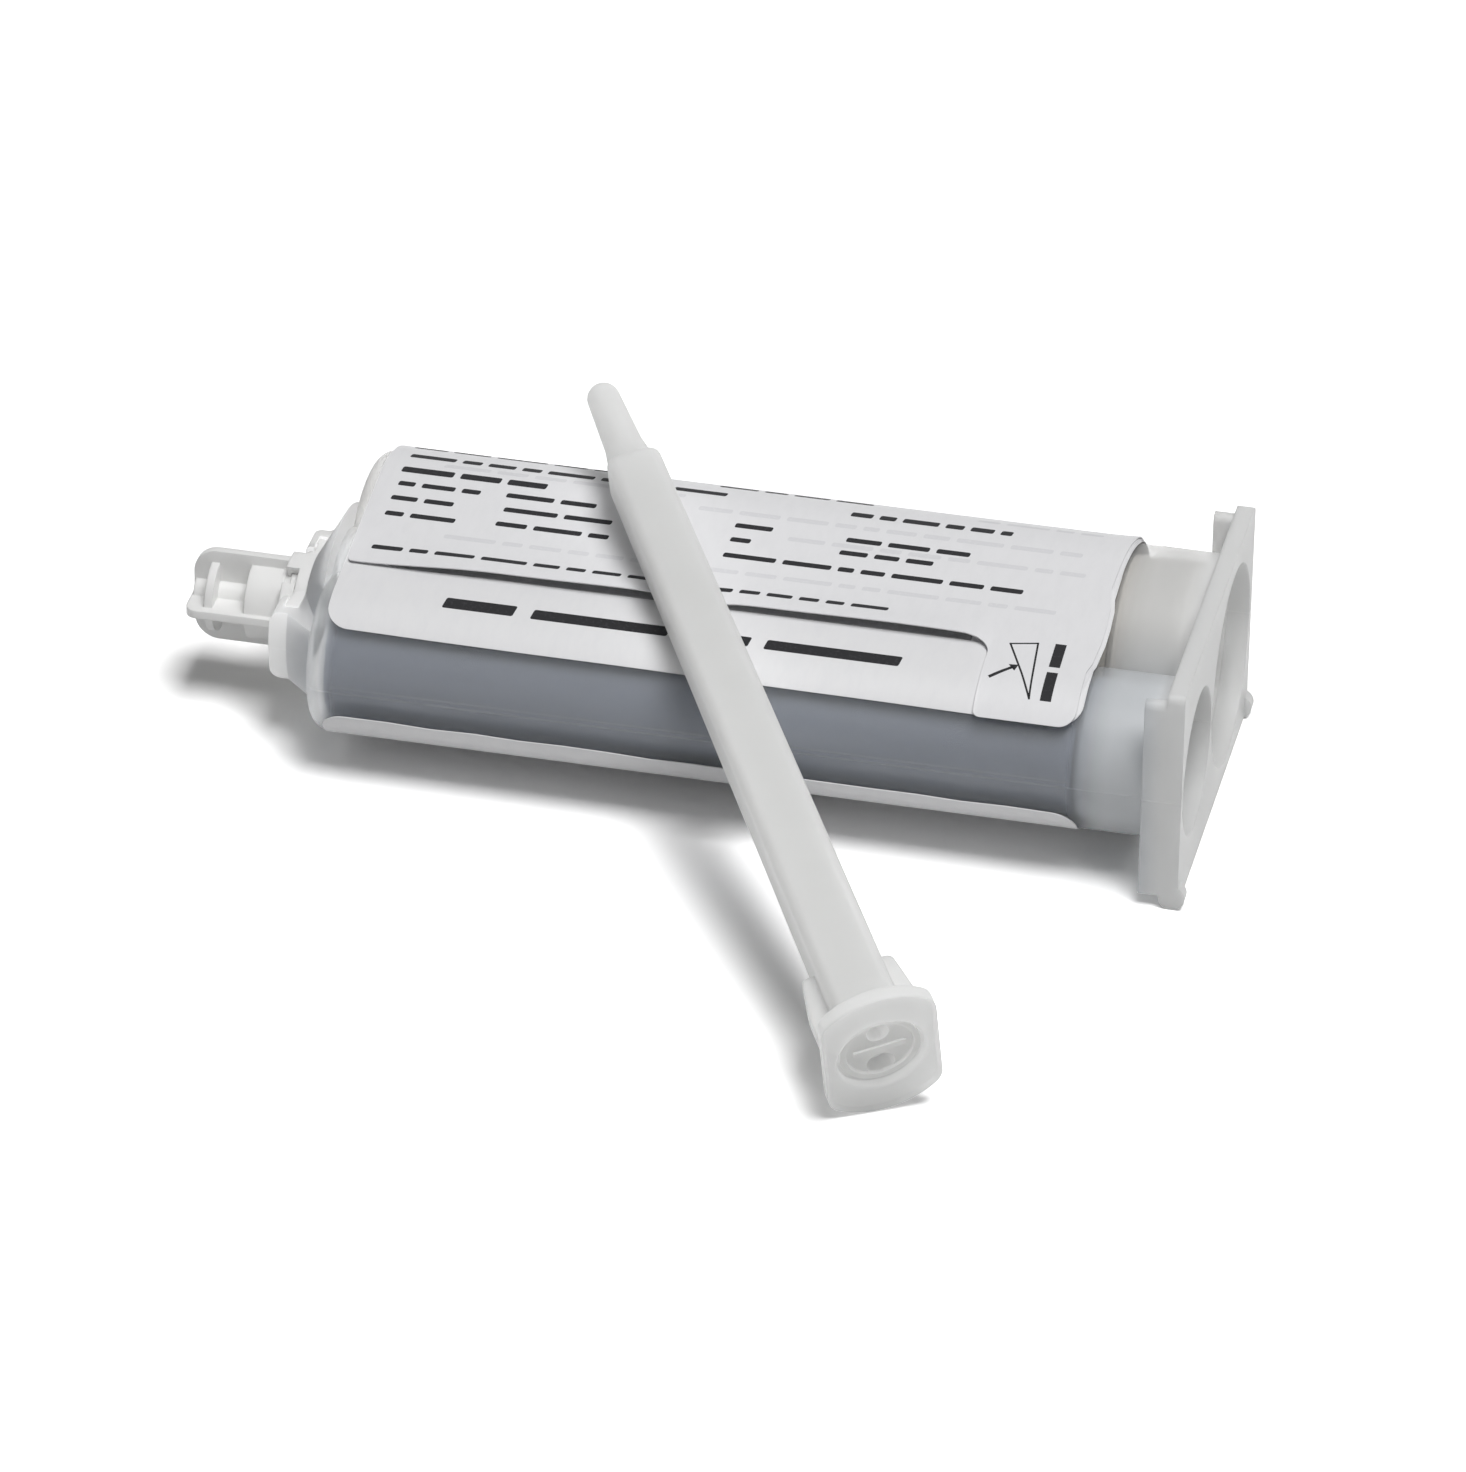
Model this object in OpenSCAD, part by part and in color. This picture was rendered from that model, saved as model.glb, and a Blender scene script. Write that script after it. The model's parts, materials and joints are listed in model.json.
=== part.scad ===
// Twin-barrel adhesive cartridge with its turn-off cap, its leaflet label and a loose static mixing nozzle.
// It lies on its side with the barrels along X and the flange at +X. The nozzle's mouth rests on the
// surface in front, and its tube leans over the cartridge.
// Stations along the cartridge are measured forward (towards -X) from the flange's rear face.

/* [Barrels] */
// Bore diameter of the small barrel
small_bore_d = 15.8; // [13:0.1:18]
// Bore diameter of the large barrel
large_bore_d = 22.3; // [20:0.1:26]
// Wall of the small barrel
small_wall = 1.1; // [0.8:0.1:1.6]
// Wall of the large barrel
large_wall = 1.2; // [0.9:0.1:1.8]
// Wall left between the two bores
web = 1.9; // [1.4:0.1:2.4]
// Length from the flange's rear face to the barrels' closed front
barrel_len = 99.8; // [80:0.2:130]
// Thickness of the barrels' closed front
front_wall = 1.7; // [1.2:0.1:2.5]
// Rounding of the barrels' front edge
nose_r = 1.9; // [0.6:0.1:2.1]
// Radial step of the lead-in at the rear of each bore
leadin_step = 0.5; // [0.3:0.1:0.6]
// Depth of the lead-in
leadin_depth = 2.6; // [1.5:0.1:3.5]

/* [Flange] */
// Width of the flange across both barrels
flange_w = 43.2; // [42.6:0.2:50]
// Height of the flange
flange_h = 27.2; // [26.4:0.2:34]
// Thickness of the flange plate
flange_t = 2; // [1.5:0.1:3]
// Corner rounding of the flange plate
flange_corner = 0.9; // [0.5:0.1:2]
// How far the end rims stand forward of the plate
rim_depth = 2.5; // [1:0.1:4]
// Thickness of the end rims
rim_t = 1.7; // [1:0.1:2]
// Height of the end rims
rim_h = 25; // [18:0.5:26]
// Radius of the two rounded nubs at the bottom corners of the rear face
nub_r = 1.5; // [1:0.05:2]
// How far the nubs stand out of the rear face
nub_proud = 0.8; // [0.4:0.05:0.95]
// Width of the nubs
nub_w = 1.6; // [1:0.1:4]

/* [Outlet and bayonet] */
// Base radius of the shoulder that carries the outlet
neck_base_r = 12.2; // [10.5:0.1:12.6]
// Radius of the outlet face
neck_r = 6.4; // [6:0.1:7]
// Length of the shoulder
neck_len = 3; // [2:0.1:4]
// Radius of the spigot that the cap and the nozzle fit over
spigot_r = 4.9; // [4.6:0.05:5.2]
// Length of the spigot
spigot_len = 1.5; // [1:0.1:2]
// Radius of the outlet hole of the small barrel
small_port_r = 1.25; // [0.9:0.05:1.5]
// Radius of the outlet hole of the large barrel
large_port_r = 1.6; // [1.2:0.05:1.8]
// Outside radius of the two bayonet ears
ear_r = 10.3; // [10.1:0.1:11.5]
// Radius of the inside of the ear's lip
lip_r = 6.95; // [6.7:0.05:7.6]
// Thickness of the ear's lip
lip_t = 1.2; // [0.9:0.05:2]
// Half height of the ears
ear_half = 4.3; // [3:0.1:5]
// Corner rounding of the ears, seen from the side
ear_corner = 1.3; // [0.4:0.1:1.8]
// Radius where the gusset behind each ear meets the barrels' front
gusset_r = 13.2; // [12:0.1:13.6]

/* [Cap] */
// Radius of the locking plate, also of the nozzle's mouth plate
lobe_r = 8.9; // [8.4:0.05:8.9]
// Half width of the cap's two locking lobes
cap_flat = 4.2; // [3.6:0.1:5.4]
// Corner rounding of the locking lobes
lobe_corner = 1; // [0.5:0.1:2]
// Thickness of the locking plate
lobe_t = 1.55; // [1.2:0.05:2.2]
// Outside radius of the cap's ring
ring_r = 6; // [5.8:0.05:6.2]
// Length of the cap's ring
ring_len = 2.9; // [2.7:0.05:3.6]
// Outside radius of the drum
drum_r = 4.6; // [4.2:0.05:5]
// Length of the drum
drum_len = 4.4; // [3:0.1:6]
// Length of the grip in front of the drum
grip_len = 6.8; // [5:0.1:10]
// Half height of the upright fin
fin_half = 5.75; // [4.8:0.05:6.5]
// Half width of the level fin
level_fin_half = 5.3; // [4:0.05:6.5]
// Thickness of the fins
fin_t = 1; // [0.8:0.05:1.6]
// Corner rounding of the upright fin
fin_corner = 2.8; // [1:0.1:4]
// Radius of the rod at the grip's centre
rod_r = 2; // [1.4:0.1:2.6]
// Radius of the disc that crosses the fins
disc_r = 4.3; // [3:0.1:5]
// Thickness of that disc
disc_t = 0.95; // [0.6:0.05:1.5]
// Gap between that disc and the end of the grip
disc_from_end = 2.1; // [1:0.1:3.5]
// Angle of the plug's snap lug, from the top towards the small barrel
lug_at = 55; // [45:1:65]
// Angle that the snap lug covers
lug_angle = 34; // [20:1:36]

/* [Pistons and contents] */
// Length of the pistons
piston_len = 8; // [6.5:0.1:11]
// Depth of the pistons' rear face inside the flange
piston_recess = 4.6; // [4.4:0.1:8]
// Depth of the hollow in the back of each piston
piston_hollow = 4.4; // [3:0.1:5]
// Wall of the pistons' skirt
skirt_t = 1.5; // [1:0.1:2]
// Height of the two sealing lips
seal_h = 1.1; // [0.6:0.1:1.5]

/* [Label and leaflet] */
// Thickness of the base label
label_t = 0.12; // [0.1:0.01:0.3]
// Station where the labels end, nearest the flange
label_rear = 12.1; // [8:0.1:30]
// Length of the base label along the barrels
label_len = 85.9; // [50:0.1:86]
// Height of the base label's edge on the front of the small barrel
window_top = 6.55; // [3:0.05:8]
// Height below which the base label covers the small barrel again
window_bottom = -3.7; // [-7:0.1:0]
// Corner rounding of the base label
label_corner = 2.8; // [1:0.1:4]
// Thickness of the leaflet's pages
pages_t = 0.26; // [0.16:0.02:0.6]
// Thickness of the leaflet's cover
cover_t = 0.14; // [0.1:0.01:0.3]
// How far the leaflet's edge lies inside the base label's ends
leaflet_inset = 0.4; // [0.2:0.1:2]
// How much shorter the pages are than the cover at the flange end
pages_back = 0.5; // [0.2:0.1:2]
// Distance of the leaflet's near edge from the small barrel's axis, towards the large one
leaflet_edge = 2.95; // [0.5:0.05:6]
// Height of the leaflet's far edge on the outside of the large barrel
leaflet_low = 3.5; // [1:0.1:6]
// Width of the pull tab
tab_w = 11.7; // [8:0.1:20]
// Height of the pull tab's end on the small barrel
tab_end = 6.55; // [5:0.05:8]
// Rounding of the leaflet's corners
tab_corner = 1.9; // [0.5:0.1:3]

/* [Mixing nozzle] */
// Distance of the nozzle's mouth in front of the flange's middle
nozzle_reach = 70.9; // [60:0.5:80]
// Station of the nozzle's mouth along the cartridge
nozzle_station = 22.85; // [15:0.05:40]
// Bearing of the nozzle, from the flange's side towards the cap
nozzle_bearing = 121; // [105:0.5:135]
// Turn of the nozzle about its own axis
nozzle_roll = 10.75; // [0:0.25:20]
// Length of the nozzle from mouth to tip
nozzle_len = 104.4; // [90:0.5:125]
// Half width of the mouth plate across its flats
mouth_flat = 6.4; // [6.2:0.1:6.7]
// Corner rounding of the mouth plate
mouth_corner = 2.4; // [0.8:0.1:3]
// Thickness of the mouth plate
mouth_t = 2; // [1.2:0.1:2.5]
// Radius of the hub behind the mouth plate
hub_r = 6.2; // [5.9:0.1:6.4]
// Length of the hub, with its plate
hub_len = 7.4; // [6.5:0.1:9]
// Length of the cone between the hub and the tube
hub_cone = 3.8; // [1:0.1:4]
// Length of the hub with its two grip wings
wing_len = 12.5; // [11:0.1:18]
// Half width of the grip wings at their far end
wing_half = 5.2; // [4.4:0.1:6]
// Thickness of the grip wings
wing_t = 1.4; // [0.8:0.1:2]
// Width of the square tube at the hub
tube_w = 7.4; // [7:0.05:8]
// Width of the square tube at its shoulder
tube_end_w = 6.25; // [5.6:0.05:7]
// Corner rounding of the square tube
tube_corner = 1; // [0.5:0.1:1.5]
// Wall of the square tube
tube_wall = 0.95; // [0.7:0.05:1.2]
// Length of the tip beyond the tube
tip_len = 13.2; // [8:0.1:20]
// Radius of the tip at the tube
tip_base_r = 2.75; // [2.3:0.05:2.9]
// Radius of the tip at its end
tip_r = 1.9; // [1.5:0.05:2.2]
// Radius of the hole in the tip
tip_hole_r = 0.9; // [0.5:0.05:1.2]
// Depth of the mouth
mouth_depth = 2; // [1.8:0.1:4.5]
// Thickness of the mixer's inlet disc
inlet_t = 1.6; // [1:0.1:2.5]
// Thickness of the mixer's blades
blade_t = 0.7; // [0.5:0.05:1]
// Number of blades in the mixer
blade_count = 24; // [12:1:30]

/* [Hidden] */
// Radial gap of parts that turn or slide in each other
run_gap = 0.08;
// Gap between faces that rest on each other
seat_gap = 0.05;
// Gap between the glued layers of the label
layer_gap = 0.02;
// Gap of soft parts and of what moves past them
free_gap = 0.15;
$fn = 96;

small_bore_r = small_bore_d / 2;
large_bore_r = large_bore_d / 2;
small_r = small_bore_r + small_wall;
large_r = large_bore_r + large_wall;
pitch = small_bore_r + web + large_bore_r;
small_y = -(small_r + pitch + large_r) / 2 + small_r;
large_y = small_y + pitch;
bore_end = barrel_len - front_wall;

outlet_y = small_y + small_bore_r + web / 2;
neck_root_r = 9.4;
small_port_y = small_y + small_bore_r - small_port_r - 0.15;
large_port_y = large_y - large_bore_r + large_port_r + 0.15;
neck_end = barrel_len + neck_len;
spigot_end = neck_end + spigot_len;
ear_root = barrel_len - 0.6;
lobe_gap = 0.1;
lip_start = neck_end + lobe_t + 2 * lobe_gap;
ear_end = lip_start + lip_t;

cap_start = neck_end + lobe_gap;
ring_end = cap_start + ring_len;
drum_end = ring_end + drum_len;
cap_end = drum_end + grip_len;
plug_start = spigot_end + seat_gap;
plug_t = 0.9;
plug_r = spigot_r;
socket_r = spigot_r + run_gap;
socket_end = plug_start + plug_t + seat_gap;
stem_r = drum_r - 1.3;
stem_len = 2.6;
pin_len = 3;
lug_reach = 0.12;
lug_in = spigot_r - 0.35;
lug_end = ring_end + 0.05;
window_before = 20;
quarter_turn = 90;
turn_margin = 3;

piston_front = piston_recess + piston_len;
label_front = label_rear + label_len;
label_lift = seat_gap;
pages_lift = label_lift + label_t + layer_gap;
cover_lift = pages_lift + pages_t + layer_gap;
leaflet_y = small_y + leaflet_edge;
belt_angle = asin((large_r - small_r) / pitch);

// The cartridge lies on the flange's lower edge and on the label at the large barrel's front
lie_angle = atan((flange_h / 2 - large_r - label_lift - label_t) / (label_front - flange_t));
lie_height = flange_t * sin(lie_angle) + flange_h / 2 * cos(lie_angle);

// The nozzle's mouth plate stands on the surface, so its lean follows from where the tube meets the label
mouth_bore_r = spigot_r + run_gap;
inlet_r = mouth_bore_r - 0.45;
tube_len = nozzle_len - tip_len;
cavity_w = tube_w - 2 * tube_wall;
cavity_end = tube_len - 1.2;
tip_step = 3.6;
function turn_z(p, a) = [p[0] * cos(a) - p[1] * sin(a), p[0] * sin(a) + p[1] * cos(a), p[2]];
function turn_x(p, a) = [p[0], p[1] * cos(a) - p[2] * sin(a), p[1] * sin(a) + p[2] * cos(a)];
function turn_y(p, a) = [p[0] * cos(a) + p[2] * sin(a), p[1], -p[0] * sin(a) + p[2] * cos(a)];
function lie(p) = turn_y(p, -lie_angle) + [0, 0, lie_height];
function mouth_at(lean) = [-nozzle_station, -nozzle_reach, lobe_r * cos(lean)];
function nozzle_point(p, lean) =
    mouth_at(lean) + turn_z(turn_x(turn_z(p, -nozzle_roll), lean - 90), nozzle_bearing - 90);
function line_gap(p, u, q, v) = abs((q - p) * cross(u, v)) / norm(cross(u, v));
function corner_gap(side, lean) =
    let (near = nozzle_point([side * (tube_w / 2 - tube_corner), tube_w / 2 - tube_corner, 0], lean))
    let (far = nozzle_point([side * (tube_end_w / 2 - tube_corner), tube_end_w / 2 - tube_corner, tube_len], lean))
    let (axis_start = lie([0, small_y, 0]))
    line_gap(near, far - near, axis_start, lie([-1, small_y, 0]) - axis_start)
        - small_r - label_lift - label_t - tube_corner;
function tube_gap(lean) = min(corner_gap(-1, lean), corner_gap(1, lean)) - seat_gap;
function solve_lean(low, high, steps) =
    steps == 0 ? (low + high) / 2 :
    tube_gap((low + high) / 2) > 0 ? solve_lean(low, (low + high) / 2, steps - 1) :
    solve_lean((low + high) / 2, high, steps - 1);
nozzle_lean = solve_lean(6, 30, 24);

// The origin is the middle of the whole object's footprint
nub_station = nub_r - nub_proud;
nub_lift = sqrt(nub_r * nub_r - nub_station * nub_station);
function corner_height(r, flat, corner) = sqrt(pow(r - corner, 2) - pow(flat - corner, 2));
mouth_corner_y = corner_height(lobe_r, mouth_flat, mouth_corner);
mouth_across = turn_z(turn_x(turn_z([1, 0, 0], -nozzle_roll), nozzle_lean - 90), nozzle_bearing - 90);
mouth_down = turn_z(turn_x(turn_z([0, 1, 0], -nozzle_roll), nozzle_lean - 90), nozzle_bearing - 90);
rear_x = lie([-nub_station, 0, nub_lift - flange_h / 2])[0] + nub_r;
front_x = lie([-cap_end, 0, fin_half - fin_corner])[0];
far_y = max(flange_w / 2, nozzle_point([0, 0, nozzle_len - tip_r], nozzle_lean)[1] + tip_r);
near_y = -nozzle_reach - (mouth_flat - mouth_corner) * abs(mouth_across[1]) - mouth_corner_y * abs(mouth_down[1])
    - mouth_corner * norm([mouth_across[1], mouth_down[1]]);
middle_x = (rear_x + front_x) / 2;
middle_y = (far_y + near_y) / 2;

// Lays a piece of the cartridge down on the surface
module on_side() {
    translate([-middle_x, -middle_y, lie_height]) rotate([0, -lie_angle, 0]) children();
}

// Turns a piece that is built upwards so that it runs forward from the flange, at a place across it
module forward(y, from) {
    translate([-from, y, 0]) rotate([0, -90, 0]) children();
}

// Places a piece that is built along the nozzle's axis, from its mouth up to its tip
module along_nozzle() {
    translate([-middle_x, -middle_y, 0]) translate(mouth_at(nozzle_lean))
        rotate([0, 0, nozzle_bearing - 90]) rotate([nozzle_lean - 90, 0, 0])
            rotate([0, 0, -nozzle_roll]) children();
}

module rounded_rect(w, h, r) {
    square([w - 2 * r, h], center = true);
    square([w, h - 2 * r], center = true);
    for (x = [-1, 1], y = [-1, 1]) translate([x * (w / 2 - r), y * (h / 2 - r)]) circle(r, $fn = 32);
}

// Outside of one barrel, closed and rounded at the front
module barrel_outside(r) {
    rotate_extrude() {
        square([r - nose_r, barrel_len]);
        square([r, barrel_len - nose_r]);
        translate([r - nose_r, barrel_len - nose_r]) intersection() {
            circle(nose_r, $fn = 32);
            square(nose_r);
        }
    }
}

module barrel_bore(r) {
    translate([0, 0, -1]) cylinder(h = bore_end + 1, r = r);
    translate([0, 0, -1]) cylinder(h = leadin_depth + 1, r = r + leadin_step);
}

// One bayonet ear in section: base, wall and lip, with a sloped gusset behind
module ear_section() {
    wall_in = lobe_r + run_gap * 2;
    polygon([[spigot_r, ear_root], [gusset_r, ear_root], [gusset_r, barrel_len + 0.6],
             [ear_r, neck_end + 0.9], [ear_r, ear_end], [lip_r, ear_end], [lip_r, lip_start],
             [wall_in, lip_start], [wall_in, neck_end], [spigot_r, neck_end]]);
}

module ears() {
    side_len = ear_end - ear_root + 2 * ear_corner;
    for (side = [0, 180]) {
        forward(outlet_y, 0) intersection() {
            rotate([0, 0, side]) rotate_extrude(angle = 180) ear_section();
            rotate([0, 0, side + 180]) rotate([90, 0, 0]) linear_extrude(2 * gusset_r)
                translate([0, ear_end - side_len / 2]) rounded_rect(2 * ear_half, side_len, ear_corner);
        }
    }
}

module flange() {
    forward(0, 0) linear_extrude(flange_t) rounded_rect(flange_h, flange_w, flange_corner);
    for (side = [-1, 1]) {
        forward(side * (flange_w - rim_t) / 2, flange_t - 0.5)
            linear_extrude(rim_depth + 0.5) rounded_rect(rim_h, rim_t, rim_t / 2 - 0.05);
    }
    for (side = [-1, 1]) {
        translate([-nub_station, side * (flange_w - nub_w) / 2, nub_lift - flange_h / 2]) rotate([90, 0, 0])
            intersection() {
                cylinder(h = nub_w, r = nub_r, center = true);
                translate([0, nub_r / 2, 0]) cube([3 * nub_r, 2 * nub_lift + nub_r, nub_w + 1], center = true);
            }
    }
}

module outlet() {
    forward(outlet_y, barrel_len - 1.4) cylinder(h = 1.4, r = neck_root_r);
    forward(outlet_y, barrel_len - 0.2) cylinder(h = neck_len + 0.2, r1 = neck_base_r, r2 = neck_r);
    forward(outlet_y, neck_end - 0.5) cylinder(h = spigot_len + 0.5, r = spigot_r);
    ears();
}

module cartridge_body() {
    color("#d9dcdd") on_side() difference() {
        union() {
            forward(small_y, 0) barrel_outside(small_r);
            forward(large_y, 0) barrel_outside(large_r);
            flange();
            outlet();
        }
        forward(small_y, 0) barrel_bore(small_bore_r);
        forward(large_y, 0) barrel_bore(large_bore_r);
        forward(small_port_y, bore_end - 1) cylinder(h = spigot_end - bore_end + 2, r = small_port_r);
        forward(large_port_y, bore_end - 1) cylinder(h = spigot_end - bore_end + 2, r = large_port_r);
    }
}

// Piston with a flat front, two sealing lips and a hollow back, for a bore of radius r
module piston(r) {
    seal_r = r - run_gap;
    neck = seal_r - 0.35;
    hollow_r = seal_r - skirt_t;
    rotate_extrude() difference() {
        polygon([[0, piston_len], [seal_r - 0.8, piston_len], [seal_r, piston_len - 0.6],
                 [seal_r, piston_len - 0.6 - seal_h], [neck, piston_len - 1 - seal_h],
                 [neck, seal_h + 0.8], [seal_r, seal_h + 0.4], [seal_r, 0.3],
                 [seal_r - 0.3, 0], [0, 0]]);
        polygon([[-1, -1], [hollow_r + 0.3, -1], [hollow_r, 0.5], [hollow_r - 0.3, piston_hollow - 0.5],
                 [hollow_r - 1, piston_hollow], [-1, piston_hollow]]);
    }
}

module piston_small() {
    color("#f1f1ee") on_side() forward(small_y, piston_recess) piston(small_bore_r);
}

module piston_large() {
    color("#f1f1ee") on_side() forward(large_y, piston_recess) piston(large_bore_r);
}

// Paste between a piston and the closed front of its barrel
module paste(r) {
    cylinder(h = bore_end - piston_front - 2 * free_gap, r = r - free_gap);
}

module adhesive_small() {
    color("#6f7684") on_side() forward(small_y, piston_front + free_gap) paste(small_bore_r);
}

module adhesive_large() {
    color("#cdc9bf") on_side() forward(large_y, piston_front + free_gap) paste(large_bore_r);
}

// Disc of a bayonet plate, cut by two flats, with a rounding where each flat meets the rim
module flatted_disc(r, flat, corner, t) {
    x = flat - corner;
    y = corner_height(r, flat, corner);
    linear_extrude(t) {
        square([2 * flat, 2 * y], center = true);
        intersection() {
            circle(r);
            for (j = [-1, 1]) polygon([[0, 0], [2 * x, j * 2 * y], [-2 * x, j * 2 * y]]);
        }
        for (i = [-1, 1], j = [-1, 1]) translate([i * x, j * y]) circle(corner, $fn = 32);
    }
}

// Ring sector between two radii, starting at an angle about the outlet
module sector(r_in, r_out, start, angle, h) {
    rotate([0, 0, start]) rotate_extrude(angle = angle) translate([r_in, 0]) square([r_out - r_in, h]);
}

module fin(half, corner, from) {
    translate([0, fin_t / 2, 0]) rotate([90, 0, 0]) linear_extrude(fin_t) {
        translate([0, (from + cap_end - cap_start) / 2])
            rounded_rect(2 * half, cap_end - cap_start - from, corner);
        translate([-half, from]) square([2 * half, corner + 1]);
    }
}

// Turning part of the cap: bayonet plate, ring with two windows, drum and finned grip
module cap_ring() {
    fin_from = lobe_t - 0.1;
    disc_at = cap_end - cap_start - disc_from_end - disc_t;
    window_angle = window_before + lug_angle + quarter_turn + turn_margin;
    color("#f4f4f0") on_side() forward(outlet_y, cap_start) difference() {
        union() {
            flatted_disc(lobe_r, cap_flat, lobe_corner, lobe_t);
            cylinder(h = ring_len, r = ring_r);
            cylinder(h = drum_end - cap_start, r = drum_r);
            cylinder(h = cap_end - cap_start - 0.2, r = rod_r);
            translate([0, 0, disc_at]) cylinder(h = disc_t, r = disc_r);
            difference() {
                union() {
                    fin(fin_half, fin_corner, fin_from);
                    rotate([0, 0, 90]) fin(level_fin_half, fin_corner / 2, lug_end + 0.1 - cap_start);
                }
                cylinder(h = ring_len, r = lug_in - 0.1);
            }
        }
        translate([0, 0, -1]) cylinder(h = socket_end - cap_start + 1, r = socket_r);
        cylinder(h = plug_start + stem_len + seat_gap - cap_start, r = stem_r + run_gap);
        for (half = [0, 180]) {
            translate([0, 0, plug_start - seat_gap - cap_start])
                sector(lug_in - 0.1, fin_half + 2, half - lug_at + lug_angle / 2 + window_before - window_angle,
                       window_angle, lug_end + 0.1 - plug_start + seat_gap);
        }
    }
}

// Fixed part of the cap: two sealing pins on a disc, with snap lugs in the ring's windows
module cap_plug() {
    color("#efefe9") on_side() {
        forward(outlet_y, plug_start) {
            cylinder(h = plug_t, r = plug_r);
            cylinder(h = stem_len, r = stem_r);
            for (half = [0, 180]) {
                sector(lug_in, ring_r + lug_reach, half - lug_at - lug_angle / 2, lug_angle, lug_end - plug_start);
            }
        }
        forward(small_port_y, plug_start - pin_len) cylinder(h = pin_len + 0.2, r = small_port_r - run_gap);
        forward(large_port_y, plug_start - pin_len) cylinder(h = pin_len + 0.2, r = large_port_r - run_gap);
    }
}

// Arc of a sheet round one barrel, between two angles from the top towards the far side
module arc_sheet(y, r, t, from, to, len) {
    translate([0, y, 0]) rotate([0, 0, from]) rotate_extrude(angle = to - from)
        translate([r, 0]) square([t, len]);
}

// Flat sheet that bridges the two barrels on their common tangent
module bridge_sheet(side, lift, t, len) {
    lap = 0.25;
    translate([0, small_y, 0]) rotate([0, 0, -side * belt_angle])
        translate([side > 0 ? small_r + lift : -small_r - lift - t, -lap, 0])
            cube([t, pitch * cos(belt_angle) + 2 * lap, len]);
}

// Sheet of thickness t wrapped round both barrels like a belt, lifted off them
module wrap(lift, t, from, len) {
    forward(0, from) {
        arc_sheet(small_y, small_r + lift, t, 180 + belt_angle, 360 - belt_angle, len);
        arc_sheet(large_y, large_r + lift, t, -belt_angle, 180 + belt_angle, len);
        bridge_sheet(1, lift, t, len);
        bridge_sheet(-1, lift, t, len);
    }
}

// Upright sheet seen from the front, with its lower edge at a height
module sheet_face(from, len, low, high, corner) {
    translate([-from - len / 2, (low + high) / 2]) rounded_rect(len, high - low, corner);
}

// Part of the base label on the small barrel, between two heights, with rounded corners.
// Its ends stay a hair inside those of the bridges, so no two end faces fall together.
module label_strip(low, high) {
    intersection() {
        forward(0, label_rear - 1)
            arc_sheet(small_y, small_r + label_lift, label_t, 180 + belt_angle, 360 - belt_angle, label_len + 2);
        translate([0, small_y + 1, 0]) rotate([90, 0, 0]) linear_extrude(2 * small_r)
            sheet_face(label_rear + layer_gap, label_len - 2 * layer_gap, low, high, label_corner);
    }
}

module label_base() {
    reach = 2 * large_r;
    color("#e4e4e7") on_side() {
        forward(0, label_rear) {
            arc_sheet(large_y, large_r + label_lift, label_t, -belt_angle, 180 + belt_angle, label_len);
            bridge_sheet(1, label_lift, label_t, label_len);
            bridge_sheet(-1, label_lift, label_t, label_len);
        }
        label_strip(window_top, reach);
        label_strip(-reach, window_bottom);
    }
}

// Plan of the leaflet over the large barrel, with a filleted root for its pull tab
module leaflet_plan(rear, front) {
    far = large_y + large_r + 2;
    notch = rear + tab_w + tab_corner;
    translate([-front, leaflet_y]) square([front - rear, far - leaflet_y]);
    difference() {
        translate([-notch, leaflet_y - tab_corner]) square([notch - rear, tab_corner + 1]);
        translate([-notch, leaflet_y - tab_corner]) circle(tab_corner, $fn = 32);
    }
}

module leaflet(lift, t, rear, front) {
    height = 3 * large_r;
    intersection() {
        wrap(lift, t, rear, front - rear);
        union() {
            translate([0, 0, leaflet_low]) linear_extrude(height) leaflet_plan(rear, front);
            translate([0, leaflet_y - tab_corner, 0]) rotate([90, 0, 0]) linear_extrude(height)
                sheet_face(rear, tab_w, tab_end, height, tab_corner);
        }
    }
}

module leaflet_pages() {
    color("#dedee0") on_side()
        leaflet(pages_lift, pages_t, label_rear + pages_back, label_front - leaflet_inset);
}

module leaflet_cover() {
    color("#e9e9ec") on_side()
        leaflet(cover_lift, cover_t, label_rear, label_front - leaflet_inset);
}

// Square section with rounded corners, as one closed outline
module tube_section(w, r) {
    steps = 4;
    polygon([for (corner = [0:3], i = [0:steps])
        let (a = 90 * (corner + i / steps), c = 90 * corner + 45)
        [(w / 2 - r) * sqrt(2) * cos(c) + r * cos(a), (w / 2 - r) * sqrt(2) * sin(c) + r * sin(a)]]);
}

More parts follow.
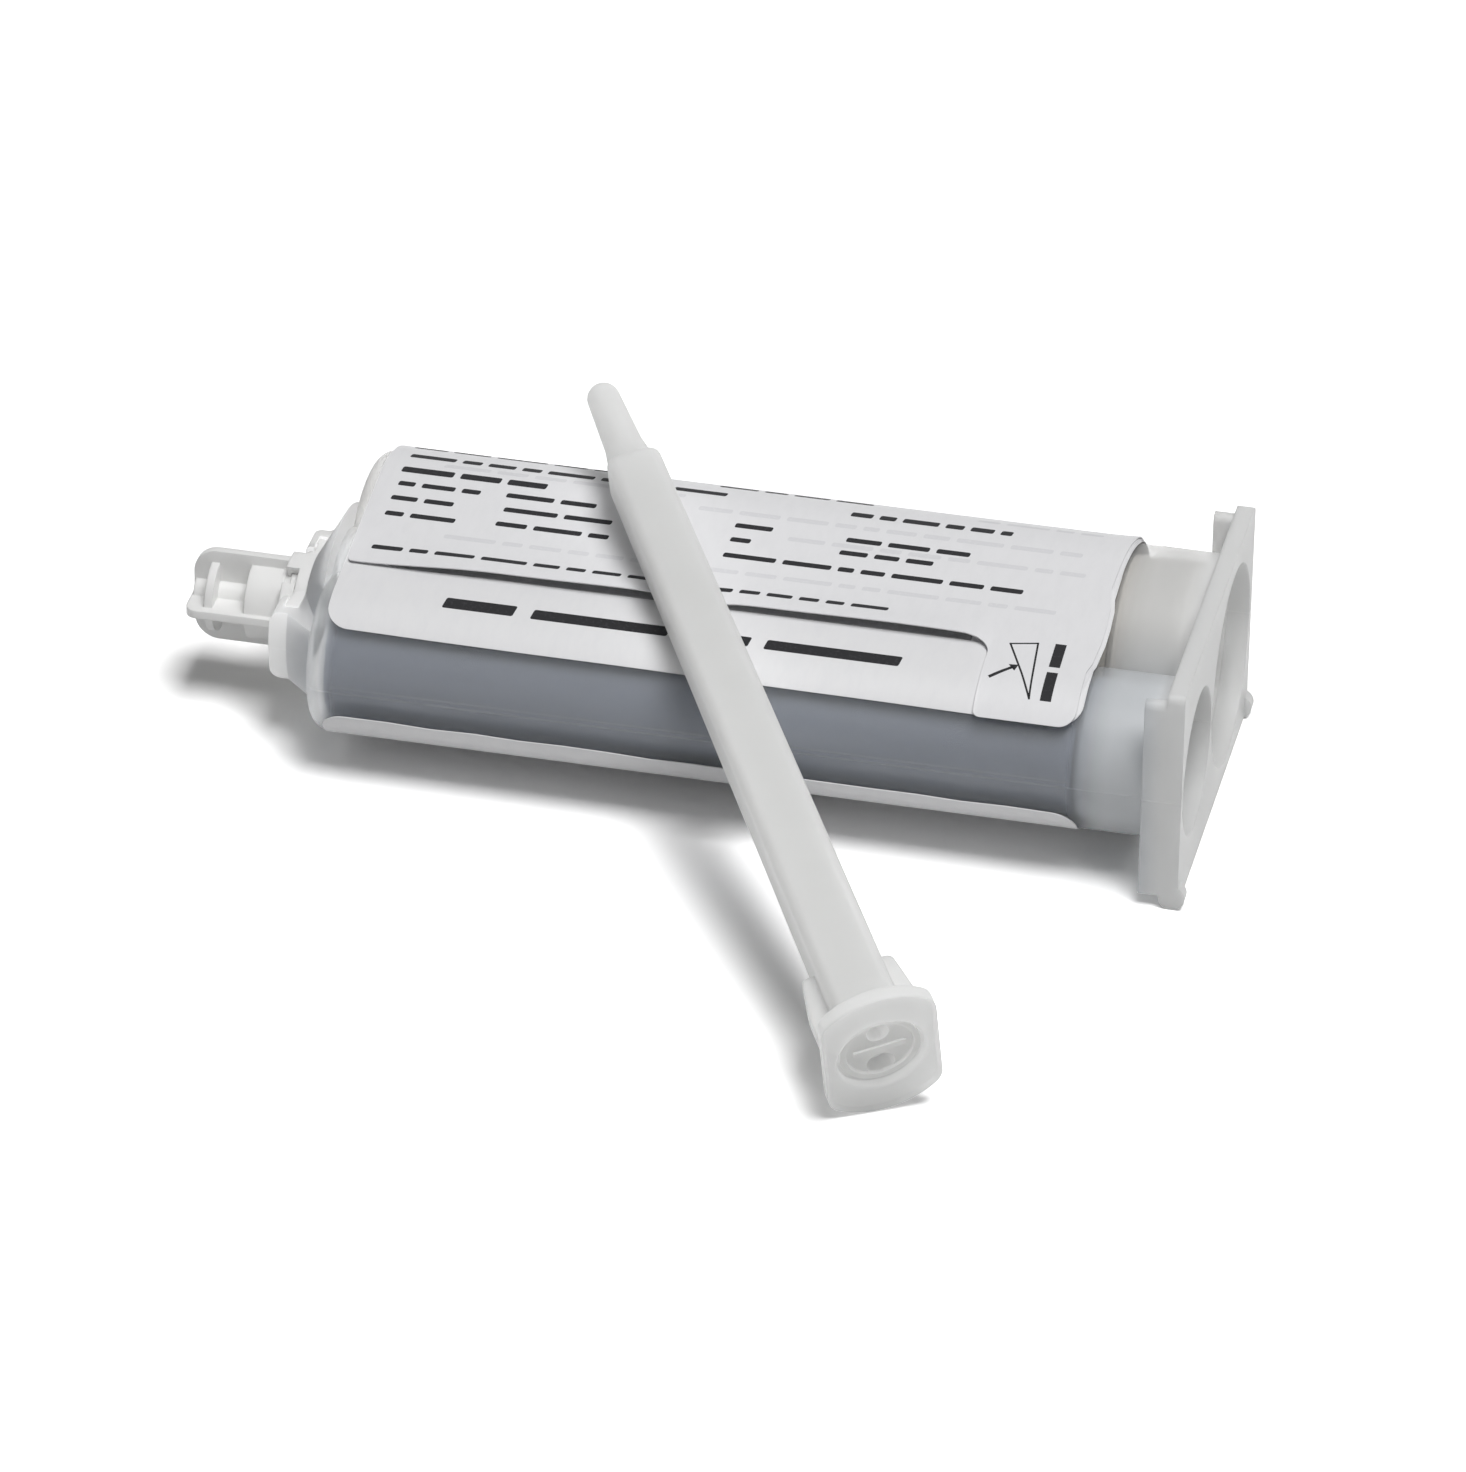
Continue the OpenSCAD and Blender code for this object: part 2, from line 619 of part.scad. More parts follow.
module nozzle_housing() {
    tube_from = hub_len - 1;
    cavity_end_w = tube_end_w - 2 * tube_wall;
    color("#d2d3d0") along_nozzle() difference() {
        union() {
            flatted_disc(lobe_r, mouth_flat, mouth_corner, mouth_t);
            cylinder(h = hub_len, r = hub_r);
            translate([0, 0, hub_len]) cylinder(h = hub_cone, r1 = hub_r, r2 = tube_w / 2);
            translate([0, wing_t / 2, 0]) rotate([90, 0, 0]) linear_extrude(wing_t)
                polygon([[-hub_r, mouth_t - 0.5], [hub_r, mouth_t - 0.5], [hub_r, hub_len],
                         [wing_half, wing_len - 0.9], [wing_half - 0.9, wing_len],
                         [0.9 - wing_half, wing_len], [-wing_half, wing_len - 0.9], [-hub_r, hub_len]]);
            translate([0, 0, tube_from])
                linear_extrude(tube_len - tube_from - 0.8, scale = tube_end_w / tube_w)
                    tube_section(tube_w, tube_corner);
            translate([0, 0, tube_len - 0.8])
                linear_extrude(0.8, scale = (tube_end_w - 1) / tube_end_w)
                    tube_section(tube_end_w, tube_corner);
            translate([0, 0, tube_len]) cylinder(h = tip_step, r1 = tip_base_r, r2 = tip_r + 0.3);
            translate([0, 0, tube_len + tip_step])
                cylinder(h = tip_len - tip_step - tip_r, r1 = tip_r + 0.3, r2 = tip_r);
            translate([0, 0, nozzle_len - tip_r]) sphere(tip_r);
        }
        translate([0, 0, -1]) cylinder(h = mouth_depth + 1, r = mouth_bore_r);
        cylinder(h = mouth_depth + inlet_t + seat_gap, r = inlet_r + seat_gap);
        translate([0, 0, mouth_depth + inlet_t])
            linear_extrude(cavity_end - mouth_depth - inlet_t, scale = cavity_end_w / cavity_w)
                square(cavity_w, center = true);
        translate([0, 0, cavity_end - 1]) cylinder(h = nozzle_len, r = tip_hole_r);
    }
}

// Static mixer: an inlet disc with two ports, and a chain of blades that cross each other in turn
module mixing_element() {
    blades_from = mouth_depth + inlet_t;
    blades_end = tube_len - 3;
    blade_len = (blades_end - blades_from) / blade_count;
    taper = (tube_w - tube_end_w) / (cavity_end - blades_from);
    color("#dcdcd8") along_nozzle() {
        difference() {
            translate([0, 0, mouth_depth + seat_gap]) cylinder(h = inlet_t - seat_gap, r = inlet_r);
            translate([0, small_port_y - outlet_y, 0]) cylinder(h = blades_from + 1, r = small_port_r);
            translate([0, large_port_y - outlet_y, 0]) cylinder(h = blades_from + 1, r = large_port_r);
        }
        for (i = [0:blade_count - 1]) {
            blade_w = cavity_w - taper * (i + 1.2) * blade_len - 2 * seat_gap;
            translate([0, 0, blades_from + (i + 0.5) * blade_len]) rotate([0, 0, 90 * (i % 2)])
                cube([blade_t, blade_w, blade_len + 0.3], center = true);
        }
        translate([0, 0, blades_from - 0.2]) cylinder(h = blades_end - blades_from, r = blade_t * 0.7);
    }
}

cartridge_body();
piston_small();
piston_large();
adhesive_small();
adhesive_large();
cap_ring();
cap_plug();
label_base();
leaflet_pages();
leaflet_cover();
nozzle_housing();
mixing_element();
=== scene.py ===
import json
import math
import random

import bmesh
import bpy
from mathutils import Matrix, Vector


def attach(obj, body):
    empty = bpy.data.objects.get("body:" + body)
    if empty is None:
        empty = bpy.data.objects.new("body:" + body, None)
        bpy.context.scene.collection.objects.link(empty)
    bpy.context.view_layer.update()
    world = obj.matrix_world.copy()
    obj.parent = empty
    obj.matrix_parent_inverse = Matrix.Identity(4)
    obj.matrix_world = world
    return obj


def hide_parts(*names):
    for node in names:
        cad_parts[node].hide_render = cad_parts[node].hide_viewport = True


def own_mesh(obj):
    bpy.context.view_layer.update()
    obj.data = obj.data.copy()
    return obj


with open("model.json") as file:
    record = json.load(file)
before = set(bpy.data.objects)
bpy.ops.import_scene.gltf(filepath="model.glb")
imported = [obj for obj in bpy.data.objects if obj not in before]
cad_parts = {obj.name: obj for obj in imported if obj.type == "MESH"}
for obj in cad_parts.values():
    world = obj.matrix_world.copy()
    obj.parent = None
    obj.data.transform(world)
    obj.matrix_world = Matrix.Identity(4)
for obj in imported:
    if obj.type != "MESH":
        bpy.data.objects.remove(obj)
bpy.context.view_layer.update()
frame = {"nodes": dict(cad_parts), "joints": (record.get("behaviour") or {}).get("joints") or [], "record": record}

# Places on the cartridge are given in millimetres: a station is measured from the flange's rear face
# towards the cap, and the height from the barrels' axes. Everything is made in metres in the row frame.
mm = 0.001
perMetre = 1000
cartridge = {
    "neckEnd": 102.8,  # station of the outlet's face, where the cap's hinge point sits
    "outletSide": -3.3,  # the outlet's place across the barrels
    "smallSide": -12.15,  # axis of the small barrel
    "largeSide": 8.8,  # axis of the large barrel
    "smallRadius": 9.0,  # outside of the small barrel
    "largeRadius": 12.35,  # outside of the large barrel
    "smallBore": 7.9,
    "largeBore": 11.15,
    "boreEnd": 98.1,  # station of the barrels' closed front, inside
    "pistonFront": 12.6,
}


def jointNamed(name):
    return next(j for j in frame["joints"] if j["name"] == name)


def layDown():
    # the cartridge lies tilted by a hair, so its own axes come from the cap's joint
    joint = jointNamed("cap_turn")
    along = -Vector(joint["axis"]).normalized()
    across = Vector((0, 1, 0))
    upward = along.cross(across)
    origin = Vector(joint["pos_m"])
    origin += along * cartridge["neckEnd"] * mm
    origin -= across * cartridge["outletSide"] * mm
    turn = Matrix((along, across, upward)).transposed().to_4x4()
    return Matrix.Translation(origin) @ turn


lay = layDown()


def atPlace(station, side, height):
    return lay @ Vector((-station * mm, side * mm, height * mm))


def addObject(name, data):
    made = bpy.data.objects.new(name, data)
    bpy.context.scene.collection.objects.link(made)
    return made


viewpoint = {
    "target": (55.161, 0.0, -12.264),  # station, side and height that the lens points at
    "distance": 1132.02,
    "azimuth": 12.32,
    "elevation": 31.758,
    "roll": 0.837,
    "focalPixels": 10003.91,
    "imageWidth": 1466,
    "sensorWidth": 36,
    "nearest": 0.05, "farthest": 20,  # metres
}


def makeCamera():
    az, el, roll = (math.radians(viewpoint[k]) for k in ("azimuth", "elevation", "roll"))
    back = Vector((math.sin(az) * math.cos(el), -math.cos(az) * math.cos(el), math.sin(el)))
    right = (-back).cross(Vector((0, 0, 1))).normalized()
    up = right.cross(-back)
    across = right * math.cos(roll) + up * math.sin(roll)
    upward = up * math.cos(roll) - right * math.sin(roll)
    station, side, height = viewpoint["target"]
    spot = Vector((-station, side, height)) * mm + back * viewpoint["distance"] * mm
    pose = Matrix((across, upward, back)).transposed().to_4x4()
    data = bpy.data.cameras.new("photoCamera")
    data.sensor_fit = "HORIZONTAL"
    data.sensor_width = viewpoint["sensorWidth"]
    data.lens = viewpoint["sensorWidth"] * viewpoint["focalPixels"] / viewpoint["imageWidth"]
    data.clip_start, data.clip_end = viewpoint["nearest"], viewpoint["farthest"]
    camera = addObject("photoCamera", data)
    camera.matrix_world = lay @ Matrix.Translation(spot) @ pose
    bpy.context.scene.camera = camera


makeCamera()
print("camera ready")


class Wire:
    # a socket of a node tree: sums and products of wires add the nodes that work them out
    def __init__(self, tree, socket):
        self.tree = tree
        self.socket = socket

    def node(self, kind, values=None, settings=None, output=0):
        made = self.tree.nodes.new(kind)
        for name, value in (settings or {}).items():
            setattr(made, name, value)
        for key, value in (values or {}).items():
            if isinstance(value, Wire):
                self.tree.links.new(value.socket, made.inputs[key])
            else:
                made.inputs[key].default_value = value
        return Wire(self.tree, made.outputs[output]) if len(made.outputs) else made

    def maths(self, operation, first, second=None):
        values = {0: first} if second is None else {0: first, 1: second}
        return self.node("ShaderNodeMath", values, {"operation": operation})

    def __add__(self, other):
        return self.maths("ADD", self, other)

    def __radd__(self, other):
        return self.maths("ADD", other, self)

    def __sub__(self, other):
        return self.maths("SUBTRACT", self, other)

    def __rsub__(self, other):
        return self.maths("SUBTRACT", other, self)

    def __mul__(self, other):
        return self.maths("MULTIPLY", self, other)

    def __rmul__(self, other):
        return self.maths("MULTIPLY", other, self)

    def __truediv__(self, other):
        return self.maths("DIVIDE", self, other)

    def __abs__(self):
        return self.maths("ABSOLUTE", self)

    def most(self, other):
        return self.maths("MAXIMUM", self, other)

    def ease(self, low, high):
        # 0 up to low, 1 from high on, smooth between
        return self.node("ShaderNodeMapRange", {"Value": self, "From Min": low, "From Max": high},
                         {"interpolation_type": "SMOOTHSTEP"})

    def tint(self, colourA, colourB):
        # colourA where this is 0, colourB where it is 1
        values = {0: self, 6: asColour(colourA), 7: asColour(colourB)}
        return self.node("ShaderNodeMix", values, {"data_type": "RGBA"}, 2)

    def noise(self, scale, detail, stretch=None, roughness=0.5):
        place = self
        if stretch is not None:
            place = self.node("ShaderNodeMapping", {"Vector": self, "Scale": stretch})
        values = {"Vector": place, "Scale": scale, "Detail": detail, "Roughness": roughness}
        return self.node("ShaderNodeTexNoise", values)

    def vector(self, **parts):
        return self.node("ShaderNodeCombineXYZ", parts)

    def parts(self):
        split = self.tree.nodes.new("ShaderNodeSeparateXYZ")
        self.tree.links.new(self.socket, split.inputs[0])
        return [Wire(self.tree, s) for s in split.outputs]

    def bump(self, height, distance, strength, normal=None):
        values = {"Height": height, "Distance": distance * mm, "Strength": strength}
        if normal is not None:
            values["Normal"] = normal
        return self.node("ShaderNodeBump", values)


def asColour(colour):
    return colour if isinstance(colour, Wire) else (*colour, 1)


def startMaterial(name):
    material = bpy.data.materials.new(name)
    material.use_nodes = True
    tree = material.node_tree
    tree.nodes.clear()
    coordinates = tree.nodes.new("ShaderNodeTexCoord")
    return material, Wire(tree, coordinates.outputs["Object"])


throughColour = (0.9, 0.9, 0.9)     # of the light that passes through a milky plastic


def finishMaterial(wire, values, through=0.0):
    # through is the share of the surface's light that comes from its other side
    shader = wire.node("ShaderNodeBsdfPrincipled", values)
    if through:
        lit = wire.node("ShaderNodeBsdfTranslucent", {"Color": asColour(throughColour)})
        shader = wire.node("ShaderNodeMixShader", {0: through, 1: shader, 2: lit})
    wire.node("ShaderNodeOutputMaterial", {"Surface": shader})


def softEdges(wire, radius):
    return wire.node("ShaderNodeBevel", {"Radius": radius * mm}, {"samples": 6})


def onCartridge(wire):
    # object coordinates turned into station, side and height, in millimetres
    origin, along, upward = lay.translation, lay.col[0].to_3d(), lay.col[2].to_3d()
    x, y, z = wire.parts()
    dx, dy, dz = x - origin.x, y - origin.y, z - origin.z
    station = (dx * along.x + dz * along.z) * -perMetre
    height = (dx * upward.x + dz * upward.z) * perMetre
    return station, dy * perMetre, height


# In the looks a Noise holds scale, detail, stretch and roughness, and a Bump height in millimetres and strength
bodyLook = {
    "wallAlpha": 0.16,  # each face of a barrel's wall where paste lies behind it
    "openAlpha": 0.6,  # the empty rear
    "rearAlpha": 0.84,  # flange
    "frontAlpha": 0.95,  # shoulder and ears
    "cool": (0.70, 0.735, 0.775),  # over the blue-grey paste
    "warm": (0.76, 0.755, 0.74),
    "plain": (0.78, 0.785, 0.78),  # flange
    "paleWithPaintedLight": (0.96, 0.965, 0.96),  # shoulder and ears: milky white, raised further as painted light for the light shining through them
    "rearGlow": 0.15,  # share of the light that passes through the flange
    "frontGlow": 0.82,  # and through the shoulder and ears
    "depth": 0.6,  # weight of the light scattered inside, and how far it goes, millimetres
    "scatter": 5.0,
    "roughness": 0.36,
    "flangeEnds": (2.0, 5.0),  # stations over which the flange's look gives way to the barrels'
    "fillStarts": (8.2, 13.4),  # and over which the paste begins and ends to show
    "fillEnds": (96.4, 99.8),
    "shoulderStarts": (98.4, 100.6),
    "coolToWarm": (-7.0, 1.0),  # the same across the barrels, from one tint to the other
    "seam": (0.02, 0.16),  # half the width of the moulding line along both sides, millimetres
    "seamBump": (0.04, 1.0), "seamAlpha": 0.07,
    "edge": 0.35,  # radius that the bevel gives sharp edges, millimetres
    "cloudNoise": (90, 3), "cloud": (0.84, 0.85, 0.85), "cloudShare": 0.3,
    "dragNoise": (160, 3, (0.12, 1.0, 1.0)), "dragRough": 0.16, "dragBump": (0.05, 0.5),
    "grainNoise": (5200, 2), "grainRough": 0.05, "grainBump": (0.006, 0.5),
    "ior": 1.49,
}


def makeBodyPlastic():
    look = bodyLook
    material, place = startMaterial("milkyBarrelPlastic")
    station, side, height = onCartridge(place)
    wall = station.ease(*look["fillStarts"]) * (1 - station.ease(*look["fillEnds"]))
    rear = 1 - station.ease(*look["flangeEnds"])
    front = station.ease(*look["shoulderStarts"])
    seam = 1 - abs(height).ease(*look["seam"])
    alpha = look["openAlpha"] + wall * (look["wallAlpha"] - look["openAlpha"])
    alpha = alpha + rear * (look["rearAlpha"] - look["openAlpha"])
    alpha = alpha + front * (look["frontAlpha"] - look["openAlpha"])
    alpha = alpha + seam * look["seamAlpha"]
    cloud = place.noise(*look["cloudNoise"])
    colour = side.ease(*look["coolToWarm"]).tint(look["cool"], look["warm"])
    # shoulder and ears take the paler tone, painted light standing in for light that passes through them
    colour = front.tint(rear.tint(colour, look["plain"]), look["paleWithPaintedLight"])
    colour = (cloud * look["cloudShare"]).tint(colour, look["cloud"])
    grain = place.noise(*look["grainNoise"])
    drag = place.noise(*look["dragNoise"])
    rough = look["roughness"] + (drag - 0.5) * look["dragRough"] + (grain - 0.5) * look["grainRough"]
    normal = place.bump(seam, *look["seamBump"], softEdges(place, look["edge"]))
    normal = place.bump(drag, *look["dragBump"], normal)
    normal = place.bump(grain, *look["grainBump"], normal)
    values = {"Base Color": colour, "Roughness": rough, "Alpha": alpha, "Normal": normal,
              "IOR": look["ior"], "Subsurface Weight": look["depth"],
              "Subsurface Radius": (1.0, 1.0, 1.0), "Subsurface Scale": look["scatter"] * mm}
    finishMaterial(place, values, (rear * look["rearGlow"]).most(front * look["frontGlow"]))
    return material


plasticLook = {
    "cloudNoise": (140, 4), "spread": (0.35, 0.75),  # slow change from one tone to the other
    "flowNoise": (420, 3, (1.0, 0.3, 0.3)), "flowRough": 0.14, "flowBump": (0.03, 0.4),
    "grainNoise": (6200, 2), "grainBump": (0.005, 0.5),
    "scatter": 4.5, "scatterTint": (1.0, 1.0, 0.97),
    "ior": 1.49,
    "piston": (0.82, 0.82, 0.80), "pistonDeep": (0.78, 0.78, 0.76), "pistonNoise": (140, 3),
    "pistonRoughness": 0.38, "pistonRough": 0.1,
    "pasteShows": (7.6, 12.8),  # stations over which a piston takes the paste's colour
    "pistonEdge": 0.2,
}


def makePistonPlastic(name, paste):
    # a pale plastic that takes the paste's colour towards its front, where the paste shows through it
    look = plasticLook
    material, place = startMaterial(name)
    station = onCartridge(place)[0]
    cloud = place.noise(*look["pistonNoise"])
    tone = cloud.ease(*look["spread"]).tint(look["piston"], look["pistonDeep"])
    tone = station.ease(*look["pasteShows"]).tint(tone, paste)
    grain = place.noise(*look["grainNoise"])
    normal = place.bump(grain, *look["grainBump"], softEdges(place, look["pistonEdge"]))
    rough = look["pistonRoughness"] + cloud * look["pistonRough"]
    finishMaterial(place, {"Base Color": tone, "Roughness": rough, "Normal": normal, "IOR": look["ior"]})
    return material


def makePlainPlastic(name, colour, deep, roughness, edge, alpha=1.0, inner=0.0, through=0.0):
    look = plasticLook
    material, place = startMaterial(name)
    cloud = place.noise(*look["cloudNoise"])
    flow = place.noise(*look["flowNoise"])
    grain = place.noise(*look["grainNoise"])
    tone = cloud.ease(*look["spread"]).tint(colour, deep)
    rough = roughness + (flow - 0.5) * look["flowRough"]
    normal = place.bump(flow, *look["flowBump"], softEdges(place, edge))
    normal = place.bump(grain, *look["grainBump"], normal)
    values = {"Base Color": tone, "Roughness": rough, "Normal": normal, "IOR": look["ior"],
              "Alpha": alpha, "Subsurface Weight": inner,
              "Subsurface Radius": look["scatterTint"], "Subsurface Scale": look["scatter"] * mm}
    finishMaterial(place, values, through)
    return material


pasteLook = {
    "swirlNoise": (70, 5, (0.35, 1.0, 1.0), 0.6), "streaks": (0.4, 0.7), "swirlRough": 0.2,
    "swirlBump": (0.25, 0.35), "speckNoise": (2600, 2), "specks": (0.66, 0.8),
    "depth": 0.8, "scatter": 3, "ior": 1.5,
}


def makePaste(name, colour, streak, roughness):
    look = pasteLook
    material, place = startMaterial(name)
    swirl = place.noise(*look["swirlNoise"])
    speck = place.noise(*look["speckNoise"])
    tone = swirl.ease(*look["streaks"]).tint(colour, streak)
    tone = speck.ease(*look["specks"]).tint(tone, streak)
    rough = roughness + (swirl - 0.5) * look["swirlRough"]
    normal = place.bump(swirl, *look["swirlBump"])
    finishMaterial(place, {"Base Color": tone, "Roughness": rough, "Normal": normal, "IOR": look["ior"],
                           "Subsurface Weight": look["depth"], "Subsurface Radius": (1.0, 1.0, 1.0),
                           "Subsurface Scale": look["scatter"] * mm})
    return material


paperLook = {
    "fibreNoise": (900, 4, (1.0, 0.35, 0.35), 0.65), "fibres": (0.35, 0.8), "fibreRough": 0.12,
    "rippleNoise": (46, 2), "rippleBump": (0.35, 0.35), "grainNoise": (4200, 2), "grainBump": (0.004, 0.6),
    "coatRoughness": 0.3,
}


def makePaper(name, colour, shade, roughness, coat):
    look = paperLook
    material, place = startMaterial(name)
    fibre = place.noise(*look["fibreNoise"])
    ripple = place.noise(*look["rippleNoise"])
    grain = place.noise(*look["grainNoise"])
    tone = fibre.ease(*look["fibres"]).tint(colour, shade)
    rough = roughness + (fibre - 0.5) * look["fibreRough"]
    normal = place.bump(grain, *look["grainBump"], place.bump(ripple, *look["rippleBump"]))
    finishMaterial(place, {"Base Color": tone, "Roughness": rough, "Normal": normal,
                           "Coat Weight": coat, "Coat Roughness": look["coatRoughness"]})
    return material


inkLook = {"blotNoise": (3000, 3), "blots": (0.5, 0.8), "roughness": 0.55, "blotRough": 0.15, "shine": 0.2}


def makeInk(name, colour, worn):
    look = inkLook
    material, place = startMaterial(name)
    blot = place.noise(*look["blotNoise"])
    tone = blot.ease(*look["blots"]).tint(colour, worn)
    rough = look["roughness"] + blot * look["blotRough"]
    finishMaterial(place, {"Base Color": tone, "Roughness": rough, "Specular IOR Level": look["shine"]})
    return material


looks = {
    "body": makeBodyPlastic(),
    "smallPiston": makePistonPlastic("smallPistonPlastic", (0.22, 0.245, 0.29)),
    "largePiston": makePistonPlastic("largePistonPlastic", (0.62, 0.585, 0.53)),
    "cap": makePlainPlastic("whiteCapPlastic", (0.87, 0.87, 0.86), (0.84, 0.84, 0.83),
                            roughness=0.4, edge=0.22, inner=0.35),
    "nozzle": makePlainPlastic("milkyNozzlePlastic", (0.845, 0.85, 0.84), (0.815, 0.82, 0.81),
                               roughness=0.4, edge=0.6, alpha=0.74, inner=0.6, through=0.4),
    "mixer": makePlainPlastic("mixerPlastic", (0.92, 0.92, 0.90), (0.88, 0.88, 0.86),
                              roughness=0.45, edge=0.2, alpha=0.7, inner=0.6, through=0.75),
    "greyPaste": makePaste("blueGreyPaste", (0.145, 0.168, 0.222), (0.17, 0.194, 0.25), roughness=0.32),
    "beigePaste": makePaste("offWhitePaste", (0.60, 0.565, 0.50), (0.66, 0.63, 0.57), roughness=0.38),
    "film": makePaper("labelFilm", (0.765, 0.765, 0.775), (0.74, 0.74, 0.755), roughness=0.42, coat=0.15),
    "paper": makePaper("leafletPaper", (0.775, 0.775, 0.79), (0.75, 0.75, 0.765), roughness=0.5, coat=0.08),
    "pages": makePaper("leafletPages", (0.78, 0.78, 0.79), (0.73, 0.73, 0.745), roughness=0.6, coat=0.0),
    "ink": makeInk("printInk", (0.014, 0.014, 0.016), (0.035, 0.035, 0.039)),
    # dark grey, laid under the leaflet's raised edge as a painted shadow
    "paintedShadow": makeInk("paintedShadowLine", (0.36, 0.36, 0.37), (0.42, 0.42, 0.43)),
    "paleInk": makeInk("showThroughInk", (0.70, 0.70, 0.72), (0.75, 0.75, 0.765)),
}
print("materials ready")


for node, look in (("cartridge_body", "body"), ("piston_small", "smallPiston"),
                   ("piston_large", "largePiston"), ("cap_ring", "cap"), ("cap_plug", "cap")):
    holder = frame["nodes"][node]
    holder.data.materials.clear()
    holder.data.materials.append(looks[look])


def addPiece(name, mesh, look, body="cartridge", replaces=()):
    piece = addObject(name, mesh)
    piece.data.materials.clear()
    piece.data.materials.append(looks[look])
    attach(piece, body)
    if replaces:
        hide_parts(*replaces)
    return piece


def smoothMesh(mesh, degrees):
    # smooth shading, with the edges that turn by more than the angle left sharp
    mesh.shade_smooth()
    mesh.set_sharp_from_angle(angle=math.radians(degrees))


def solidMesh(name, spots, faces, degrees, weld=0.0):
    # every face outwards, and smooth shading up to the angle
    mesh = bpy.data.meshes.new(name)
    mesh.from_pydata(spots, [], faces)
    bm = bmesh.new()
    bm.from_mesh(mesh)
    if weld:
        bmesh.ops.remove_doubles(bm, verts=bm.verts[:], dist=weld)
    bmesh.ops.recalc_face_normals(bm, faces=bm.faces[:])
    bm.to_mesh(mesh)
    bm.free()
    smoothMesh(mesh, degrees)
    return mesh


def bandFaces(pairs, count):
    # four-sided faces between rings of count vertices each, given as pairs of ring numbers
    return [(a * count + i, a * count + (i + 1) % count, b * count + (i + 1) % count, b * count + i)
            for a, b in pairs for i in range(count)]


def meshOf(bm, name):
    mesh = bpy.data.meshes.new(name)
    bm.to_mesh(mesh)
    bm.free()
    return mesh


beltAngle = math.asin((cartridge["largeRadius"] - cartridge["smallRadius"])
                      / (cartridge["largeSide"] - cartridge["smallSide"]))
bridgeLength = (cartridge["largeSide"] - cartridge["smallSide"]) * math.cos(beltAngle)
largeTurn = cartridge["largeRadius"] * (math.pi + 2 * beltAngle)


def beltSpot(station, girth, lift):
    # girth runs round both barrels: 0 on the small barrel's upper tangent, positive over the large barrel
    smallY, largeY = cartridge["smallSide"], cartridge["largeSide"]
    small, large = cartridge["smallRadius"] + lift, cartridge["largeRadius"] + lift
    slope, level = math.sin(beltAngle), math.cos(beltAngle)
    past = girth - bridgeLength - largeTurn
    if girth < 0:
        lean = beltAngle - girth / cartridge["smallRadius"]
        side, height = smallY - small * math.sin(lean), small * math.cos(lean)
    elif girth <= bridgeLength:
        side, height = smallY - small * slope + girth * level, small * level + girth * slope
    elif girth <= bridgeLength + largeTurn:
        lean = (girth - bridgeLength) / cartridge["largeRadius"] - beltAngle
        side, height = largeY + large * math.sin(lean), large * math.cos(lean)
    elif past <= bridgeLength:
        side, height = largeY - large * slope - past * level, -large * level + past * slope
    else:
        lean = beltAngle + (past - bridgeLength) / cartridge["smallRadius"]
        side, height = smallY - small * math.sin(lean), -small * math.cos(lean)
    return atPlace(station, side, height)


def flatGrid(outlines, stationStep, girthStep):
    # fills each outline with faces, cut into strips fine enough to bend
    bm = bmesh.new()
    for outline in outlines:
        bm.faces.new([bm.verts.new((s, g, 0)) for s, g in outline])
    bmesh.ops.triangulate(bm, faces=bm.faces[:])
    for axis, step in ((0, stationStep), (1, girthStep)):
        if not step:
            continue
        values = [v.co[axis] for v in bm.verts]
        low, high = min(values), max(values)
        for i in range(math.floor(low / step) + 1, math.ceil(high / step)):
            point, normal = [0, 0, 0], [0, 0, 0]
            point[axis], normal[axis] = i * step, 1
            bmesh.ops.bisect_plane(bm, geom=bm.verts[:] + bm.edges[:] + bm.faces[:], dist=1e-5,
                                   plane_co=point, plane_no=normal)
    bmesh.ops.remove_doubles(bm, verts=bm.verts[:], dist=1e-4)
    return bm


sheetAngle = 40     # degrees past which a sheet's edges stay sharp


def sheetMesh(name, outlines, base, thickness, rise=None, stationStep=2.5, girthStep=0.9):
    # a closed thin sheet wrapped round the barrels, base millimetres off them
    grid = flatGrid(outlines, stationStep, girthStep)
    grid.verts.index_update()
    places = [(v.co.x, v.co.y) for v in grid.verts]
    faces = [[v.index for v in f.verts] for f in grid.faces]
    rims = [(e.verts[0].index, e.verts[1].index) for e in grid.edges if len(e.link_faces) == 1]
    grid.free()
    count = len(places)
    spots = []
    for layer in (thickness, 0.0):
        for s, g in places:
            extra = rise(s, g) if rise else 0.0
            spots.append(beltSpot(s, g, base + extra + layer))
    allFaces = faces + [[i + count for i in reversed(f)] for f in faces]
    allFaces += [(a, b, b + count, a + count) for a, b in rims]
    return solidMesh(name, spots, allFaces, sheetAngle)


def cornerArc(centre, radius, fromDegrees, toDegrees, steps=8):
    turns = [math.radians(fromDegrees + (toDegrees - fromDegrees) * i / steps) for i in range(steps + 1)]
    return [(centre[0] + radius * math.cos(t), centre[1] + radius * math.sin(t)) for t in turns]


def wavyLine(start, end, sway, pitch, seed):
    # points from start to end, swaying sideways, with both ends kept
    rng = random.Random(seed)
    a, b = Vector(start), Vector(end)
    length = (b - a).length
    count = max(2, int(length / pitch))
    normal = Vector((-(b - a).y, (b - a).x)) / length
    shifts = [0.0] + [rng.uniform(-sway, sway) for _ in range(count - 1)] + [0.0]
    return [tuple(a.lerp(b, i / count) + normal * shifts[i]) for i in range(1, count)]


# The paste shows in the gap between the label's two long edges, on the near side of the small barrel.
label = {
    "rear": 12.1, "front": 98.0,
    "upperLeft": -5.2, "upperRight": -5.75,  # girth of the gap's upper edge at both ends
    "lowerLeft": 93.45, "lowerRight": 92.75,  # girth of its lower edge at both ends
    "corner": 2.7, "lift": 0.05, "thickness": 0.12,
    "bite": 0.004,  # how deep a layer sits in the one below it, so that no slit shows
}


